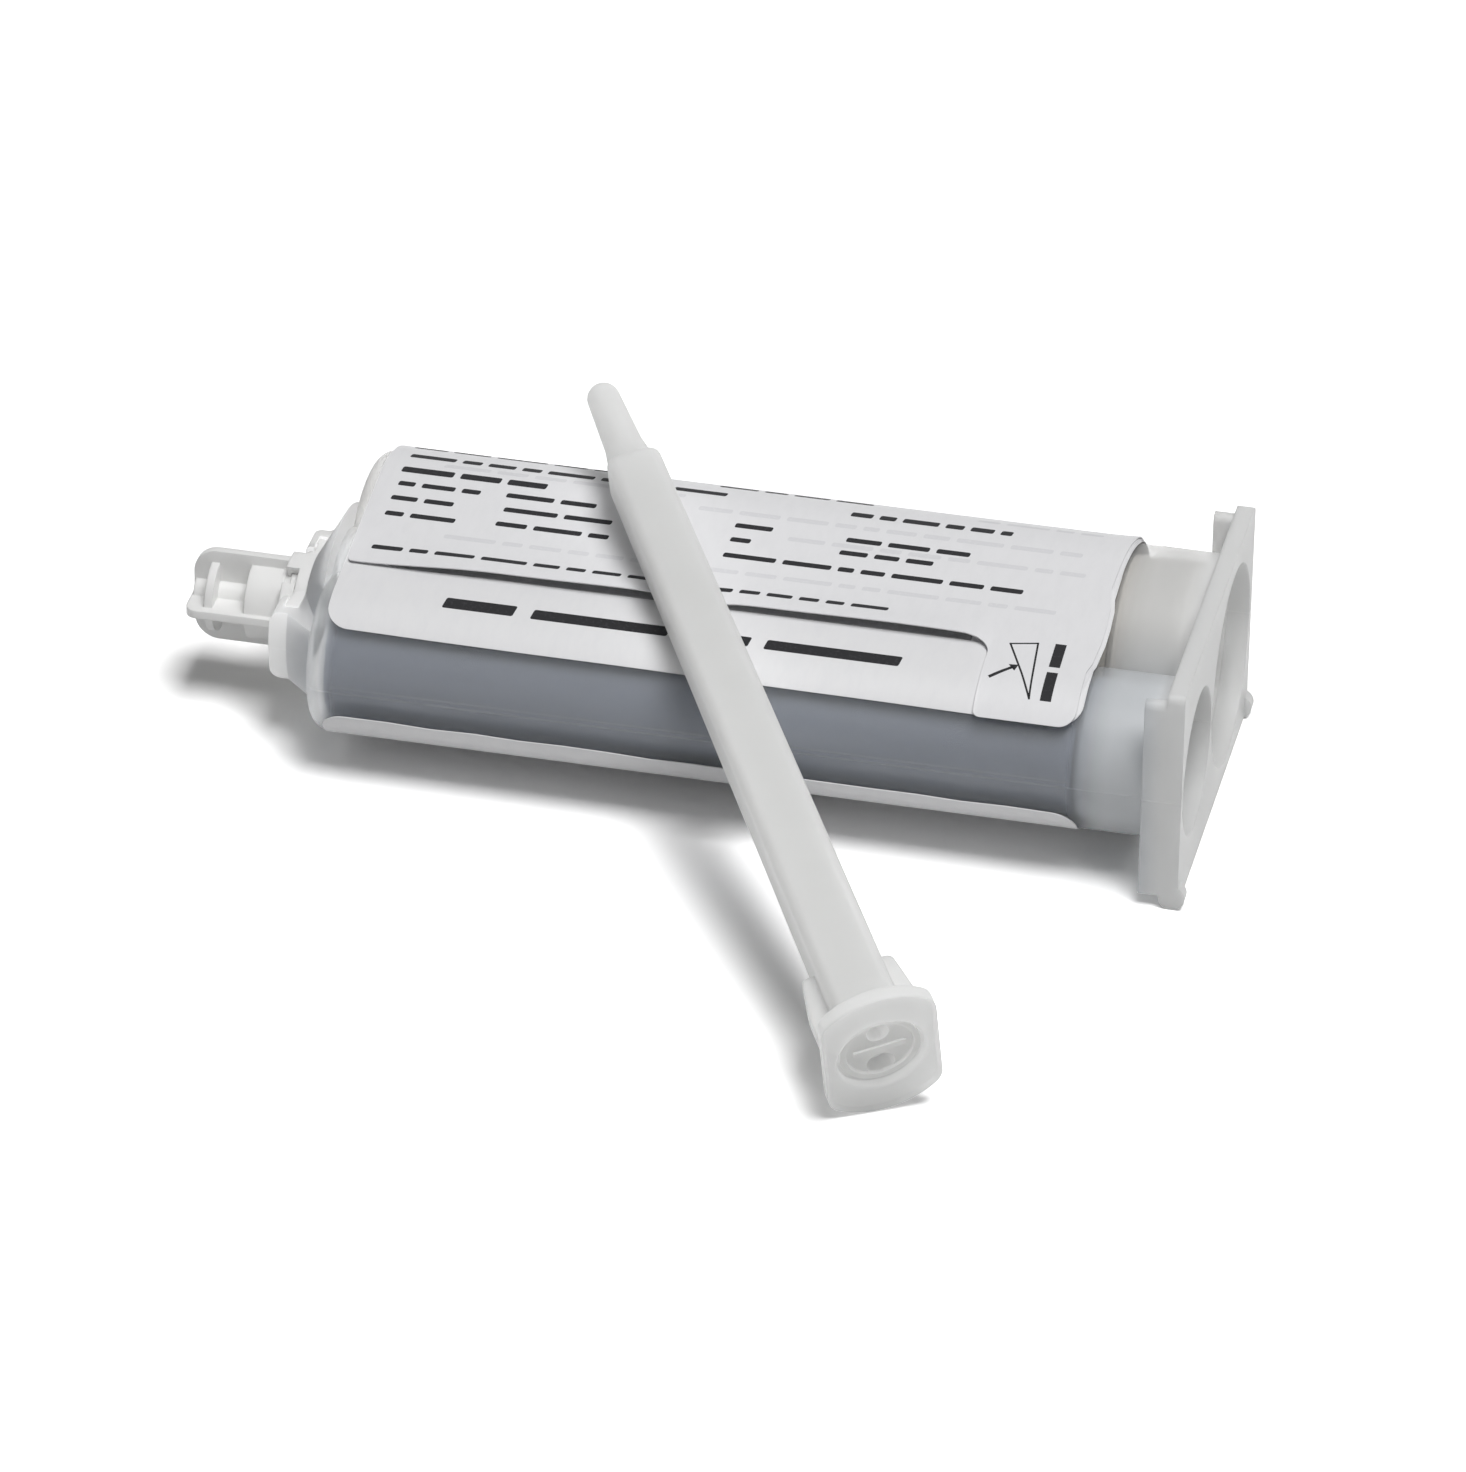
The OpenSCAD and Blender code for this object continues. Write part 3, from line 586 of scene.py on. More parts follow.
def makeBaseLabel():
    d = label
    r, rear, front = d["corner"], d["rear"], d["front"]
    outline = []
    outline += cornerArc((rear + r, d["upperRight"] + r), r, 180, 270)
    outline += wavyLine((rear + r, d["upperRight"]), (front - r, d["upperLeft"]), sway=0.05, pitch=9, seed=3)
    outline += cornerArc((front - r, d["upperLeft"] + r), r, 270, 360)
    outline += cornerArc((front - r, d["lowerLeft"] - r), r, 0, 90)
    outline += wavyLine((front - r, d["lowerLeft"]), (rear + r, d["lowerRight"]), sway=0.14, pitch=5, seed=8)
    outline += cornerArc((rear + r, d["lowerRight"] - r), r, 90, 180)
    mesh = sheetMesh("baseLabel", [outline], d["lift"], d["thickness"])
    addPiece("baseLabel", mesh, "film", replaces=["label_base"])


leaflet = {
    "rear": [  # the flange end as it waves, from the far edge down
        (12.0, 38.7), (12.0, 27.1), (12.25, 23.7), (12.5, 20.0), (12.7, 15.9), (12.15, 12.5), (12.0, 9.4),
        (12.0, 6.6), (12.3, 2.9), (12.7, 1.4)],
    "front": 97.6, "nearEdge": 4.5, "farEdge": 38.7,
    "tabLeft": 24.1, "tabEnd": -6.0, "tabRear": 12.7, "corner": 1.9,
    "tabCorner": 0.7, "frontCorner": 0.5, "frontInset": 0.6,
    "sway": 0.07, "swayPitch": 8,
    "coverLift": 0.47, "coverThickness": 0.14, "coverGrid": (1.5, 0.6),
    "pageLift": 0.19, "pageThickness": 0.07, "pageCount": 3, "pageGap": 0.085,
    "pageInset": [0.3, 0.42, 0.36], "pageRear": [-0.42, -0.3, -0.14], "pageNear": 2.6, "pageRise": 0.1,
    "paintedShadow": [(26.4, 4.75), (92.5, 4.75), (95.0, 5.6), (92.5, 7.0), (26.4, 7.0)],  # painted shadow: a dark strip laid on the label under the lower edge
    "paintedShadowThickness": 0.03,
}

# How far the cover stands off, millimetres, and the stations and girths over which it comes down
stand = {
    "edge": 1.05, "edgeStart": 0.4, "edgeFade": 3.2,  # the free lower edge
    "tabRun": (-0.6, 3.4), "frontRun": (-17, -0.5),  # it rises after the tab and comes down at the front
    "waveMiddle": 0.9, "waveSwing": 0.1, "wavePitch": 0.21, "wavePhase": 0.6,
    "pressed": 57.2, "pressedShare": 0.8, "pressedReach": 3.6,  # where the nozzle holds it down
    "rear": 0.14, "rearStart": 12, "rearFade": 1.8, "rearPitch": 0.42, "rearPhase": 1.2,
    "tab": 0.07, "tabFade": 1.6, "tabReach": 2,
}


def leafletOutline(seed, inset=0.0, nearInset=0.0, rearInset=0.0):
    d = leaflet
    r = d["corner"]
    small, tiny = d["tabCorner"], d["frontCorner"]
    near, left = d["nearEdge"] + nearInset, d["tabLeft"] - inset
    end, rear = d["tabEnd"] + inset, d["tabRear"] + inset
    front = d["front"] - inset * d["frontInset"]
    outline = [(s + rearInset, g) for s, g in d["rear"]]
    outline += cornerArc((rear + r, end + r), r, 180, 270)
    outline += cornerArc((left - small, end + small), small, 270, 360, 4)
    outline += cornerArc((left + r, near - r), r, 180, 90)
    outline += wavyLine((left + r, near), (front - tiny, near), d["sway"], d["swayPitch"], seed)
    outline += cornerArc((front - tiny, near + tiny), tiny, 270, 360, 4)
    outline += [(front, d["farEdge"] - inset)]
    return outline


def softStep(value, low, high):
    t = min(1.0, max(0.0, (value - low) / (high - low)))
    return t * t * (3 - 2 * t)


def leafletRise(station, girth):
    d, s = leaflet, stand
    away = max(0.0, girth - d["nearEdge"] + s["edgeStart"]) / s["edgeFade"]
    nearEdge = math.exp(-away * away)
    nearEdge *= softStep(station, d["tabLeft"] + s["tabRun"][0], d["tabLeft"] + s["tabRun"][1])
    nearEdge *= 1 - softStep(station, d["front"] + s["frontRun"][0], d["front"] + s["frontRun"][1])
    wave = s["waveMiddle"] + s["waveSwing"] * math.sin(station * s["wavePitch"] + s["wavePhase"])
    flat = 1 - s["pressedShare"] * math.exp(-((station - s["pressed"]) / s["pressedReach"]) ** 2)
    rearEdge = math.exp(-max(0.0, station - s["rearStart"]) / s["rearFade"])
    rearEdge *= 0.5 + 0.5 * math.sin(girth * s["rearPitch"] + s["rearPhase"])
    onTab = station < d["tabLeft"] + s["tabReach"]
    tabEdge = math.exp(-max(0.0, girth - d["tabEnd"]) / s["tabFade"]) if onTab else 0.0
    return s["edge"] * nearEdge * wave * flat + s["rear"] * rearEdge + s["tab"] * tabEdge


def makeLeaflet():
    d = leaflet
    cover = sheetMesh("leafletCover", [leafletOutline(5)], d["coverLift"], d["coverThickness"],
                      leafletRise, *d["coverGrid"])
    addPiece("leafletCover", cover, "paper", replaces=["leaflet_cover"])
    spread = bmesh.new()
    for i in range(d["pageCount"]):
        outline = leafletOutline(20 + i, d["pageInset"][i], d["pageNear"], d["pageRear"][i])
        share = d["pageRise"] + d["pageRise"] * i
        page = sheetMesh("page", [outline], d["pageLift"] + i * d["pageGap"],
                         d["pageThickness"], lambda s, g: leafletRise(s, g) * share)
        spread.from_mesh(page)
        bpy.data.meshes.remove(page)
    pages = meshOf(spread, "leafletPages")
    smoothMesh(pages, sheetAngle)
    addPiece("leafletPages", pages, "pages", replaces=["leaflet_pages"])
    # a dark strip on the label under the cover's raised lower edge: a painted shadow of that edge
    paintedShadow = sheetMesh("leafletGlue", [d["paintedShadow"]], label["lift"] + label["thickness"] - label["bite"],
                     d["paintedShadowThickness"])
    addPiece("leafletGlue", paintedShadow, "paintedShadow")


makeBaseLabel()
makeLeaflet()
print("label and leaflet wrapped")

# Print is plain rounded bars in rows, each with its first station, last station, girth and height
printRows = {
    "bars": [  # on the cover
        (95.7, 73.0, 27.9, 1.0), (60.0, 42.3, 27.5, 1.0), (95.3, 57.3, 24.4, 1.15),
        (95.5, 77.8, 21.3, 1.25), (44.0, 25.5, 23.5, 1.25), (95.3, 85.8, 18.8, 1.0),
        (82.8, 71.0, 19.0, 1.0), (56.3, 52.0, 18.8, 1.0), (43.5, 28.0, 18.7, 1.0),
        (95.5, 88.3, 16.2, 1.0), (82.5, 69.8, 16.5, 1.0), (56.3, 54.0, 16.3, 1.0),
        (43.8, 31.8, 16.4, 1.0), (95.5, 86.5, 13.4, 1.0), (82.8, 69.8, 13.9, 1.0),
        (56.5, 22.3, 13.5, 1.0), (95.5, 36.3, 7.3, 0.95), (95.0, 64.0, 30.8, 1.0),
        (60.0, 30.0, 30.6, 1.0), (95.0, 40.0, 33.6, 1.0), (95.0, 52.0, 36.2, 1.0)],
    "show": [  # print of the page below, seen through the cover
        (61.0, 17.0, 21.0, 0.9), (50.0, 16.0, 17.6, 0.9), (66.0, 18.0, 10.7, 0.9),
        (88.0, 62.0, 10.6, 0.9), (30.0, 15.5, 26.2, 0.9), (91.0, 63.0, 22.9, 0.9)],
    "base": [  # on the label, below the leaflet
        (85.3, 77.2, -0.1, 1.7), (75.2, 59.6, -0.2, 1.55), (57.2, 50.4, -0.2, 1.55),
        (48.6, 33.3, -0.25, 1.55)],
    "back": [  # on the label's far side
        (90.0, 52.0, 46.5, 2.6), (90.0, 60.0, 51.0, 1.2), (90.0, 34.0, 54.0, 1.0),
        (90.0, 30.0, 56.6, 1.0), (90.0, 44.0, 59.2, 1.0), (90.0, 36.0, 71.0, 1.0),
        (90.0, 30.0, 73.6, 1.0), (90.0, 48.0, 76.2, 1.0)],
    "wordLow": 1.8, "wordHigh": 6.2, "space": 0.8, "slant": 0.16, "corner": 0.22,
    "thin": 0.78,  # share of a row's height where it is cut into words
    "thickness": 0.014, "showShare": 0.6,
}


def wordBars(rows, seed, whole=False):
    d = printRows
    rng = random.Random(seed)
    bars = []
    for start, end, girth, fullHeight in rows:
        s, height = start, fullHeight * (1.0 if whole else d["thin"])
        while s > end + d["space"]:
            if whole:
                length = start - end
            else:
                length = min(rng.uniform(d["wordLow"], d["wordHigh"]), s - end)
            bars.append(roundBar(s - length, s, girth, height))
            s -= length + d["space"]
    return bars


def roundBar(low, high, girth, height):
    w, h = (high - low) / 2, height / 2
    r = min(printRows["corner"], w * 0.9, h * 0.9)
    points = []
    for sx, sy, a in ((1, 1, 0), (-1, 1, 90), (-1, -1, 180), (1, -1, 270)):
        points += cornerArc((sx * (w - r), sy * (h - r)), r, a, a + 90, 3)
    return [((low + high) / 2 + x - y * printRows["slant"], girth + y) for x, y in points]


def strokeBar(a, b, width):
    a, b = Vector(a), Vector(b)
    side = Vector((-(b - a).y, (b - a).x)).normalized() * width / 2
    reach = (b - a).normalized() * width / 2
    return [tuple(p) for p in (a - reach - side, b + reach - side, b + reach + side, a - reach + side)]


tabMark = {
    "fold": [(21.9, 4.6), (18.9, 5.2), (18.2, -3.3)],  # a corner being turned up, in three strokes
    "arrow": [(23.0, -1.1), (20.3, 1.2)], "head": 0.9, "headSlope": 0.7,
    "stroke": 0.22, "shaft": 1.8,  # the arrow's shaft is so many strokes wide
    "bars": [(16.35, 5.5, 1.5), (16.35, 0.6, -3.4)], "barWidth": 1.25,  # station, high and low girth
}


def makeTabMark():
    d = tabMark
    fold, width = d["fold"], d["stroke"]
    shapes = [strokeBar(fold[i], fold[(i + 1) % 3], width) for i in range(3)]
    tail, tip = Vector(d["arrow"][0]), Vector(d["arrow"][1])
    way = (tip - tail).normalized()
    side = Vector((-way.y, way.x))
    base = tip - way * d["head"]
    spread = side * d["head"] * d["headSlope"]
    shapes.append(strokeBar(tail, base, width * d["shaft"]))
    shapes.append([tuple(tip), tuple(base + spread), tuple(base - spread)])
    for s, high, low in d["bars"]:
        w = d["barWidth"] / 2
        shapes.append([(s - w, low), (s + w, low), (s + w, high), (s - w, high)])
    return shapes


def makePrint():
    d, grid = printRows, leaflet["coverGrid"]
    cover = leaflet["coverLift"] + leaflet["coverThickness"] - label["bite"]
    film = label["lift"] + label["thickness"] - label["bite"]
    thick = d["thickness"]
    bars = wordBars(d["bars"], 11) + makeTabMark()
    text = sheetMesh("leafletPrint", bars, cover, thick, leafletRise, *grid)
    addPiece("leafletPrint", text, "ink")
    bars = wordBars(d["show"], 12)
    show = sheetMesh("leafletShow", bars, cover, thick * d["showShare"], leafletRise, *grid)
    addPiece("leafletShow", show, "paleInk")
    rows = wordBars(d["base"], 13, True) + wordBars(d["back"], 14)
    base = sheetMesh("labelPrint", rows, film, thick, stationStep=0, girthStep=0.8)
    addPiece("labelPrint", base, "ink")


makePrint()
print("print laid on")


paste = {
    "gap": 0.15, "edge": 0.8, "rings": 40, "sides": 96,
    "unevenness": 0.05, "waves": 4, "wavePitch": (0.05, 0.25), "waveCount": (1, 4),
}


def pasteProfile(start, end, radius):
    # stations and radii from one end to the other, with both edges rounded
    edge, rings = paste["edge"], paste["rings"]
    inner = radius - edge
    turns = [math.radians(a) for a in (30, 60, 90)]
    arc = [(edge * (1 - math.cos(a)), inner + edge * math.sin(a)) for a in turns]
    length = end - start - 2 * edge
    middle = [(start + edge + length * i / rings, radius) for i in range(1, rings)]
    return ([(start, inner)] + [(start + along, r) for along, r in arc] + middle
            + [(end - along, r) for along, r in reversed(arc)] + [(end, inner)])


def fillBarrel(name, node, look, joint, side, bore, seed):
    d, n = paste, paste["sides"]
    rng = random.Random(seed)
    start, end = cartridge["pistonFront"] + d["gap"], cartridge["boreEnd"] - d["gap"]
    profile = pasteProfile(start, end, bore - d["gap"])
    phases = [(rng.uniform(0, 6.3), rng.uniform(*d["wavePitch"]), rng.randint(*d["waveCount"]))
              for _ in range(d["waves"])]
    spots = []
    for s, r in profile:
        for i in range(n):
            turn = 2 * math.pi * i / n
            dent = sum(math.sin(s * f + turn * k + p) for p, f, k in phases) / d["waves"]
            dented = r - d["unevenness"] * (0.5 + 0.5 * dent)
            spots.append(atPlace(s, side + dented * math.sin(turn), dented * math.cos(turn)))
    faces = bandFaces([(j, j + 1) for j in range(len(profile) - 1)], n)
    first, last, top = len(spots), len(spots) + 1, len(spots) - n
    spots += [atPlace(start, side, 0), atPlace(end, side, 0)]
    for i in range(n):
        faces.append((first, (i + 1) % n, i))
        faces.append((last, top + i, top + (i + 1) % n))
    mesh = solidMesh(name, spots, faces, degrees=50)
    piece = addPiece(name, mesh, look, replaces=[node])
    travel = max(abs(v) for v in jointNamed(joint)["range_m"]) / mm
    atPlace(end, side, 0)
    (end - start - travel) / (end - start)
    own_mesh(piece)


fillBarrel("pasteSmall", "adhesive_small", "greyPaste", "small_piston_slide",
           side=cartridge["smallSide"], bore=cartridge["smallBore"], seed=31)
fillBarrel("pasteLarge", "adhesive_large", "beigePaste", "large_piston_slide",
           side=cartridge["largeSide"], bore=cartridge["largeBore"], seed=32)
print("paste filled in")


nozzle = {
    "roll": 10.75, "mouthDepth": 1.1,
    "chainStart": 3.6, "chainEnd": 88.0, "links": 24, "widthStart": 5.25, "widthEnd": 4.2, "plate": 0.55,
    "linkEnd": 0.98, "deflectorStart": 0.45,  # shares of a link's length
    "seam": 0.9,  # where the floors meet the wall, as a share of its half
}


def nozzleFrame():
    # the nozzle's own axes, from its mouth mount: local Z runs from the mouth to the tip
    mount = next(m for m in frame["record"]["mounts"] if m["name"] == "nozzle_mouth")
    axis = -Vector(mount["axis"]).normalized()
    mouth = Vector(mount["pos_m"]) - axis * mount["dims"]["length_mm"] / 2 * mm
    lean, bearing = math.asin(axis.z), math.atan2(axis.y, axis.x)
    turn = (Matrix.Rotation(bearing - math.pi / 2, 4, "Z") @ Matrix.Rotation(lean - math.pi / 2, 4, "X")
            @ Matrix.Rotation(-math.radians(nozzle["roll"]), 4, "Z"))
    return Matrix.Translation(mouth) @ turn


alongNozzle = nozzleFrame()


def boxInto(bm, low, high):
    made = bmesh.ops.create_cube(bm, size=1.0)
    for v in made["verts"]:
        v.co = Vector([c * (h - l) + (h + l) / 2 for c, l, h in zip(v.co, low, high)])


def makeLinkMesh():
    # one link of the chain, one unit wide: a dividing wall, two half floors and two deflectors
    d = nozzle
    t = d["plate"] / d["widthStart"] / 2
    pitch = (d["chainEnd"] - d["chainStart"]) / d["links"] / d["widthStart"]
    start, end, seam = pitch * d["deflectorStart"], pitch * d["linkEnd"], t * d["seam"]
    bm = bmesh.new()
    boxInto(bm, (-0.5, -t, 0), (0.5, t, end))
    boxInto(bm, (0, seam, 0), (0.5, 0.5, 2 * t))
    boxInto(bm, (-0.5, -0.5, 0), (0, -seam, 2 * t))
    boxInto(bm, (-t, seam, start), (t, 0.5, end))
    boxInto(bm, (-t, -0.5, start), (t, -seam, end))
    return meshOf(bm, "mixerLink")


def makeChainTree(link, values):
    # a line of points along Z, a link on each one, every other link turned a quarter and all of them tapering
    tree = bpy.data.node_groups.new("mixerChain", "GeometryNodeTree")
    tree.interface.new_socket(name="Geometry", in_out="OUTPUT", socket_type="NodeSocketGeometry")
    for name, value in values.items():
        kind = "NodeSocketInt" if name == "Links" else "NodeSocketFloat"
        tree.interface.new_socket(name=name, in_out="INPUT", socket_type=kind).default_value = value
    start = tree.nodes.new("NodeGroupInput")
    wire = Wire(tree, start.outputs["Links"])
    links, pitch, begin, width, taper = [Wire(tree, start.outputs[name]) for name in values]
    index = wire.node("GeometryNodeInputIndex")
    offset, origin = wire.vector(Z=pitch), wire.vector(Z=begin)
    line = wire.node("GeometryNodeMeshLine",
                     {"Count": links, "Start Location": origin, "Offset": offset}, {"mode": "OFFSET"})
    turn = wire.vector(Z=index.maths("MODULO", index, 2) * (math.pi / 2))
    size = width * (1 - taper * index / links)
    scale = wire.vector(X=size, Y=size, Z=width)
    shape = wire.node("GeometryNodeObjectInfo", {"Object": link}, output="Geometry")
    chain = wire.node("GeometryNodeInstanceOnPoints",
                      {"Points": line, "Instance": shape, "Rotation": turn, "Scale": scale})
    solid = wire.node("GeometryNodeRealizeInstances", {"Geometry": chain})
    end = tree.nodes.new("NodeGroupOutput")
    tree.links.new(solid.socket, end.inputs[0])
    return tree


def makeMixerChain():
    d = nozzle
    link = addObject("mixerLink", makeLinkMesh())
    holder = addObject("mixerHolder", bpy.data.meshes.new("mixerHolder"))
    modifier = holder.modifiers.new("chain", "NODES")
    modifier.node_group = makeChainTree(link, {
        "Links": d["links"], "Pitch": (d["chainEnd"] - d["chainStart"]) / d["links"] * mm,
        "Start": d["chainStart"] * mm, "Width": d["widthStart"] * mm,
        "Taper": 1 - d["widthEnd"] / d["widthStart"]})
    graph = bpy.context.evaluated_depsgraph_get()
    mesh = bpy.data.meshes.new_from_object(holder.evaluated_get(graph), depsgraph=graph)
    for thing in (holder, link):
        bpy.data.objects.remove(thing)
    return mesh


def ringProfile(bm, profile, steps=64):
    # turns a closed outline of radius and height round Z
    loops = []
    for i in range(steps):
        turn = 2 * math.pi * i / steps
        loops.append([bm.verts.new((r * math.cos(turn), r * math.sin(turn), z)) for r, z in profile])
    for i in range(steps):
        one, two = loops[i], loops[(i + 1) % steps]
        for j in range(len(profile)):
            k = (j + 1) % len(profile)
            bm.faces.new((one[j], two[j], two[k], one[k]))


def circleInto(bm, radius, place, height, steps):
    turns = [2 * math.pi * i / steps for i in range(steps)]
    return [bm.verts.new((radius * math.cos(a), place + radius * math.sin(a), height)) for a in turns]


inlet = {
    "radius": 4.5, "thickness": 2.4, "sunk": 0.1, "sides": 72,
    "ports": [(-2.35, 1.25), (2.7, 1.6)], "portSides": 32,  # place across and radius
    "rimRise": 0.35, "rimFoot": 0.75, "rimTop": 0.65,
    "wallRise": 0.28, "wallHalf": 2.9, "wallThin": 0.3,
    "overlap": 0.1,  # how deep rim and wall stand in the floor
}


def makeInlet():
    # the disc in the nozzle's mouth: a floor with two ports, a raised rim and a low wall between the ports
    d = inlet
    r, base = d["radius"], nozzle["mouthDepth"] + d["sunk"]
    bm = bmesh.new()
    loops = [circleInto(bm, r, 0, base, d["sides"])]
    loops += [circleInto(bm, radius, place, base, d["portSides"]) for place, radius in d["ports"]]
    edges = []
    for loop in loops:
        edges += [bm.edges.new((loop[i], loop[(i + 1) % len(loop)])) for i in range(len(loop))]
    bmesh.ops.triangle_fill(bm, edges=edges, use_beauty=True)
    bmesh.ops.recalc_face_normals(bm, faces=bm.faces[:])
    made = bmesh.ops.extrude_face_region(bm, geom=bm.faces[:])
    for v in (g for g in made["geom"] if isinstance(g, bmesh.types.BMVert)):
        v.co.z += d["thickness"] - d["sunk"]
    deep, high = base + d["overlap"], base - d["rimRise"]
    ringProfile(bm, [(r, high), (r, deep), (r - d["rimFoot"], deep), (r - d["rimTop"], high)])
    half, thin = d["wallHalf"], d["wallThin"]
    boxInto(bm, (-half, -thin, base - d["wallRise"]), (half, thin, deep))
    bmesh.ops.recalc_face_normals(bm, faces=bm.faces[:])
    bmesh.ops.transform(bm, matrix=Matrix.Scale(mm, 4), verts=bm.verts[:])
    return meshOf(bm, "mixerInlet")


housing = {
    "bore": 4.98, "boreEdge": 0.3, "seat": 4.58, "seatEnd": 3.6,
    "cavityStart": 5.5, "cavityEnd": 4.35, "cavityStop": 90.0, "cavityCorner": 0.3, "cavitySteps": 12,
    "plate": 2.0, "plateFlat": 6.4, "plateRound": 8.9, "plateCorner": 2.4, "plateEdge": 0.45,
    "drum": 5.6, "drumEnd": 3.9, "drumEdge": 1.1,
    "wingFoot": 5.9, "wingKnee": 7.4, "wingTop": 5.2, "wingEnd": 12.5, "wingRound": 0.9, "wingThickness": 1.4,
    "belowKnee": (5.2, 6.4), "aboveKnee": (8.8, 10.2, 11.6, 11.95, 12.2, 12.36, 12.46),  # heights of rings
    "tubeStart": 7.4, "tubeFinish": 6.25, "tubeCorner": 1.2, "tubeEnd": 91.2, "tubeSteps": 26, "bend": 90.1,
    "bendRings": [(90.5, 0.05), (90.8, 0.16), (91.05, 0.33), (91.2, 0.55)],  # height, and how far in
    "tip": [(91.2, 2.75), (94.8, 2.2), (102.5, 1.9)], "tipHole": 0.9, "tipArc": (15, 30, 45, 55),
    "arc": (0, 30, 60, 90),
    "turns": [0, 1.5, 3, 4.5] + [5 + 0.5 * i for i in range(16)] + list(range(14, 31, 2))
             + [32 + 1.5 * i for i in range(20)] + [64, 68, 72, 76, 80, 84, 87],
}


def boxReach(turn, half, corner):
    # from the axis to a rounded square's outline
    x, y = sorted((abs(math.cos(turn)), abs(math.sin(turn))), reverse=True)
    inner = half - corner
    if y * half <= inner * x:
        return half / x
    along = (x + y) * inner
    return along + math.sqrt(max(0.0, along * along - 2 * inner * inner + corner * corner))


def plateReach(turn):
    # a disc with two flats and rounded corners
    d = housing
    x, y = abs(math.cos(turn)), abs(math.sin(turn))
    cx = d["plateFlat"] - d["plateCorner"]
    cy = math.sqrt((d["plateRound"] - d["plateCorner"]) ** 2 - cx * cx)
    if y * d["plateFlat"] <= cy * x:
        return d["plateFlat"] / x
    if y * cx >= cy * x:
        return d["plateRound"]
    along = x * cx + y * cy
    return along + math.sqrt(along * along - cx * cx - cy * cy + d["plateCorner"] ** 2)


def wingReach(turn, z):
    d = housing
    if z <= d["wingKnee"]:
        half = d["wingFoot"]
    elif z <= d["wingEnd"] - d["wingRound"]:
        share = (z - d["wingKnee"]) / (d["wingEnd"] - d["wingRound"] - d["wingKnee"])
        half = d["wingFoot"] + share * (d["wingTop"] - d["wingFoot"])
    else:
        rise = z - d["wingEnd"] + d["wingRound"]
        half = d["wingTop"] - d["wingRound"] + math.sqrt(max(0.0, d["wingRound"] ** 2 - rise * rise))
    across = abs(math.sin(turn))
    thin = d["wingThickness"] / 2
    return min(half / max(abs(math.cos(turn)), 1e-6), thin / max(across, 1e-6))


def housingRings():
    # every ring goes once round the nozzle; they run from the mouth's face up the outside and back down inside
    d = housing
    first = [math.radians(a) for a in d["turns"]]
    quarter = first + [math.radians(90)]
    half = quarter + [math.pi - a for a in reversed(first)]
    turns = half[:-1] + [math.pi + a for a in half[:-1]]
    rings = []

    def tube(a, z):
        width = d["tubeStart"] + (d["tubeFinish"] - d["tubeStart"]) * z / d["tubeEnd"]
        return boxReach(a, width / 2, d["tubeCorner"])

    def ring(z, reach):
        rings.append([(a, reach(a), z) for a in turns])

    arc = [math.radians(a) for a in d["arc"]]
    plate, edge = d["plate"], d["plateEdge"]
    for a in arc:
        cut = edge * (1 - math.cos(math.pi / 2 - a))
        ring(edge * (1 - math.sin(a)), lambda t: plateReach(t) - cut)
    for a in arc:
        cut = edge * (1 - math.cos(a))
        ring(plate - edge + edge * math.sin(a), lambda t: max(plateReach(t) - cut, wingReach(t, plate)))
    ring(plate, lambda t: max(d["drum"], wingReach(t, plate)))
    edge, end = d["drumEdge"], d["drumEnd"]
    for a in arc:
        cut = edge * (1 - math.cos(a))
        ring(end - edge + edge * math.sin(a), lambda t: max(d["drum"] - cut, wingReach(t, end), tube(t, end)))
    for z in (end, *d["belowKnee"], d["wingKnee"], *d["aboveKnee"], d["wingEnd"]):
        ring(z, lambda t: max(tube(t, z), wingReach(t, z)))
    ring(d["wingEnd"], lambda t: tube(t, d["wingEnd"]))
    for i in range(1, d["tubeSteps"] + 1):
        z = d["wingEnd"] + (d["bend"] - d["wingEnd"]) * i / d["tubeSteps"]
        ring(z, lambda t: tube(t, z))
    for z, shrink in d["bendRings"]:
        ring(z, lambda t: max(boxReach(t, d["tubeFinish"] / 2 - shrink, d["tubeCorner"]), d["tip"][0][1]))
    for z, r in d["tip"]:
        ring(z, lambda t: r)
    top, r = d["tip"][-1]
    for a in (math.radians(degrees) for degrees in d["tipArc"]):
        ring(top + r * math.sin(a), lambda t: r * math.cos(a))
    last = math.acos(d["tipHole"] / r)
    ring(top + r * math.sin(last), lambda t: d["tipHole"])
    ring(d["cavityStop"], lambda t: d["tipHole"])
    steps = d["cavitySteps"]
    for i in range(steps + 1):
        z = d["cavityStop"] + (d["seatEnd"] - d["cavityStop"]) * i / steps
        width = d["cavityEnd"] + (d["cavityStart"] - d["cavityEnd"]) * i / steps
        ring(z, lambda t: boxReach(t, width / 2, d["cavityCorner"]))
    ring(d["seatEnd"], lambda t: d["seat"])
    ring(nozzle["mouthDepth"], lambda t: d["seat"])
    ring(nozzle["mouthDepth"], lambda t: d["bore"])
    edge = d["boreEdge"]
    for a in arc:
        ring(edge - edge * math.sin(a), lambda t: d["bore"] + edge * (1 - math.cos(a)))
    return rings


def makeHousing():
    rings = housingRings()
    spots = [alongNozzle @ Vector((r * math.cos(a) * mm, r * math.sin(a) * mm, z * mm))
             for ring in rings for a, r, z in ring]
    faces = bandFaces([(j, (j + 1) % len(rings)) for j in range(len(rings))], len(rings[0]))
    mesh = solidMesh("nozzleHousing", spots, faces, degrees=35, weld=1e-8)
    addPiece("nozzleHousing", mesh, "nozzle", replaces=["nozzle_housing"])


def makeMixer():
    bm = bmesh.new()
    for mesh in (makeMixerChain(), makeInlet()):
        bm.from_mesh(mesh)
        bpy.data.meshes.remove(mesh)
    bmesh.ops.transform(bm, matrix=alongNozzle, verts=bm.verts[:])
    mesh = meshOf(bm, "mixingChain")
    smoothMesh(mesh, degrees=30)
    addPiece("mixingChain", mesh, "mixer", replaces=["mixing_element"])


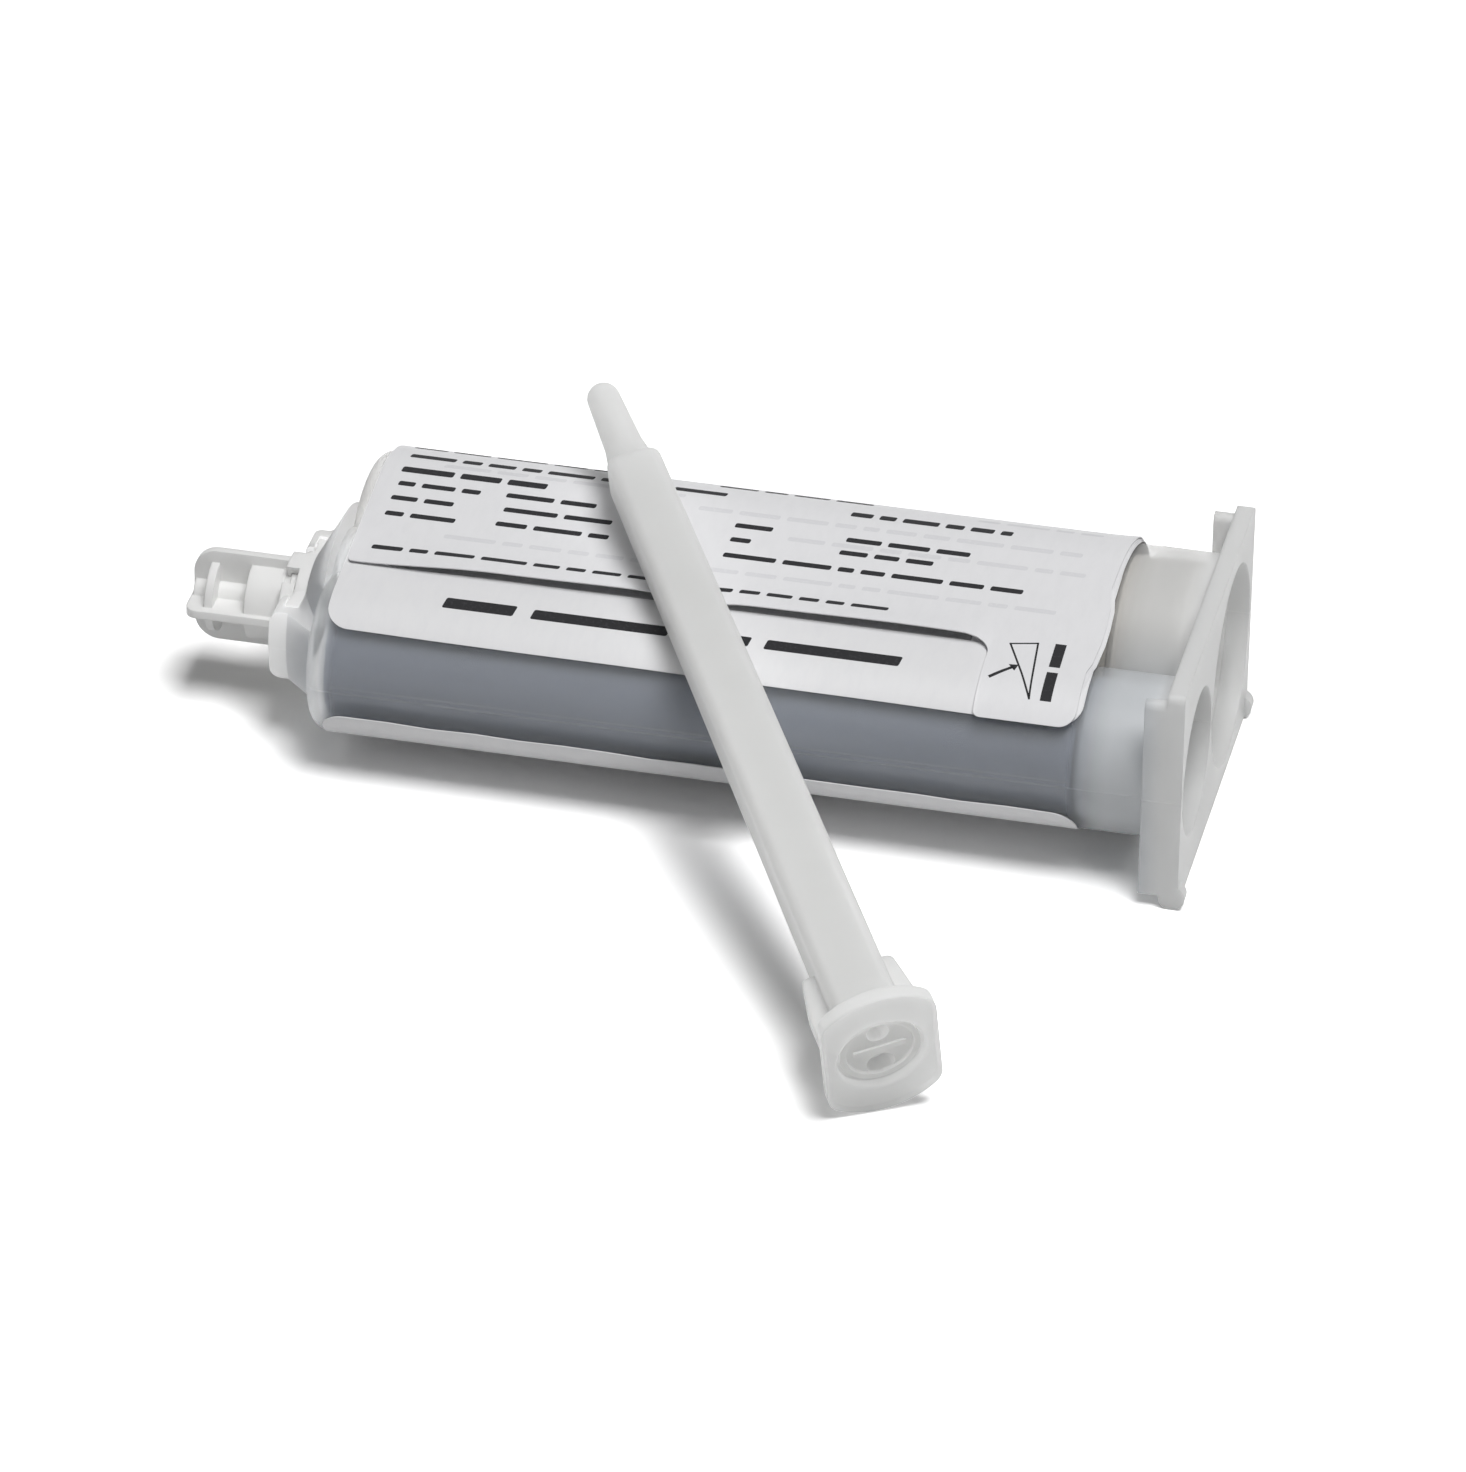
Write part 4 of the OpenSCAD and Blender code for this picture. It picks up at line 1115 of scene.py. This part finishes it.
makeMixer()
makeHousing()
print("mixing nozzle built")


studio = {
    "floorSize": 6.0, "floorDrop": 0.0002,
    "floorColour": (0.70, 0.70, 0.70),
    "floorNear": (1.56, 1.56, 1.56),  # what the camera sees of it, so that the lit floor is white
    "floorFar": (2.0, 2.0, 2.0),
    "farFrom": 0.12, "farTo": 0.45,  # distances over which it goes from one to the other
    "ambient": 0.036,  # light from all sides; the camera itself sees white
    "lamps": [  # name, place, width, depth, watts
        ("mainLamp", (0.47, -0.40, 1.84), 0.8, 1.0, 32.0),
        ("softLamp", (-0.5, -0.2, 1.9), 1.6, 1.6, 2.4),
    ],
}


def makeFloor():
    d = studio
    half = d["floorSize"] / 2
    mesh = bpy.data.meshes.new("floor")
    corners = [(-half, -half, 0), (half, -half, 0), (half, half, 0), (-half, half, 0)]
    mesh.from_pydata(corners, [], [(0, 1, 2, 3)])
    floor = addObject("floor", mesh)
    material, place = startMaterial("paleFloor")
    x, y, z = place.parts()
    far = (x * x + y * y).ease(d["farFrom"] ** 2, d["farTo"] ** 2)
    seenColour = far.tint(d["floorNear"], d["floorFar"])
    colour = seenDirectly(place).tint(d["floorColour"], seenColour)
    finishMaterial(place, {"Base Color": colour, "Roughness": 0.9, "Specular IOR Level": 0.0})
    mesh.materials.append(material)
    floor.location.z = -d["floorDrop"]


def seenDirectly(wire):
    # 1 for what the camera sees straight or in gloss and glass, 0 for the light that lands on the object
    seen = wire.node("ShaderNodeLightPath")
    names = ("Is Camera Ray", "Is Glossy Ray", "Is Transmission Ray")
    camera, gloss, glass = [Wire(wire.tree, seen.socket.node.outputs[n]) for n in names]
    return camera.most(gloss).most(glass)


def makeWorld():
    world = bpy.data.worlds.new("paleStudio")
    bpy.context.scene.world = world
    world.use_nodes = True
    tree = world.node_tree
    tree.nodes.clear()
    seen = seenDirectly(Wire(tree, None))
    strength = studio["ambient"] + seen * (1 - studio["ambient"])
    background = seen.node("ShaderNodeBackground", {"Color": (1, 1, 1, 1), "Strength": strength})
    seen.node("ShaderNodeOutputWorld", {"Surface": background})


def makeLamps():
    for name, place, width, depth, watts in studio["lamps"]:
        data = bpy.data.lights.new(name, "AREA")
        data.shape, data.size, data.size_y, data.energy = "RECTANGLE", width, depth, watts
        lamp = addObject(name, data)
        back = Vector(place).normalized()
        across = Vector((0, 1, 0)).cross(back).normalized()
        turn = Matrix((across, back.cross(across), back)).transposed().to_4x4()
        lamp.matrix_world = Matrix.Translation(place) @ turn


makeFloor()
makeWorld()
makeLamps()
bpy.context.scene.view_settings.view_transform = "Standard"
print("studio ready")
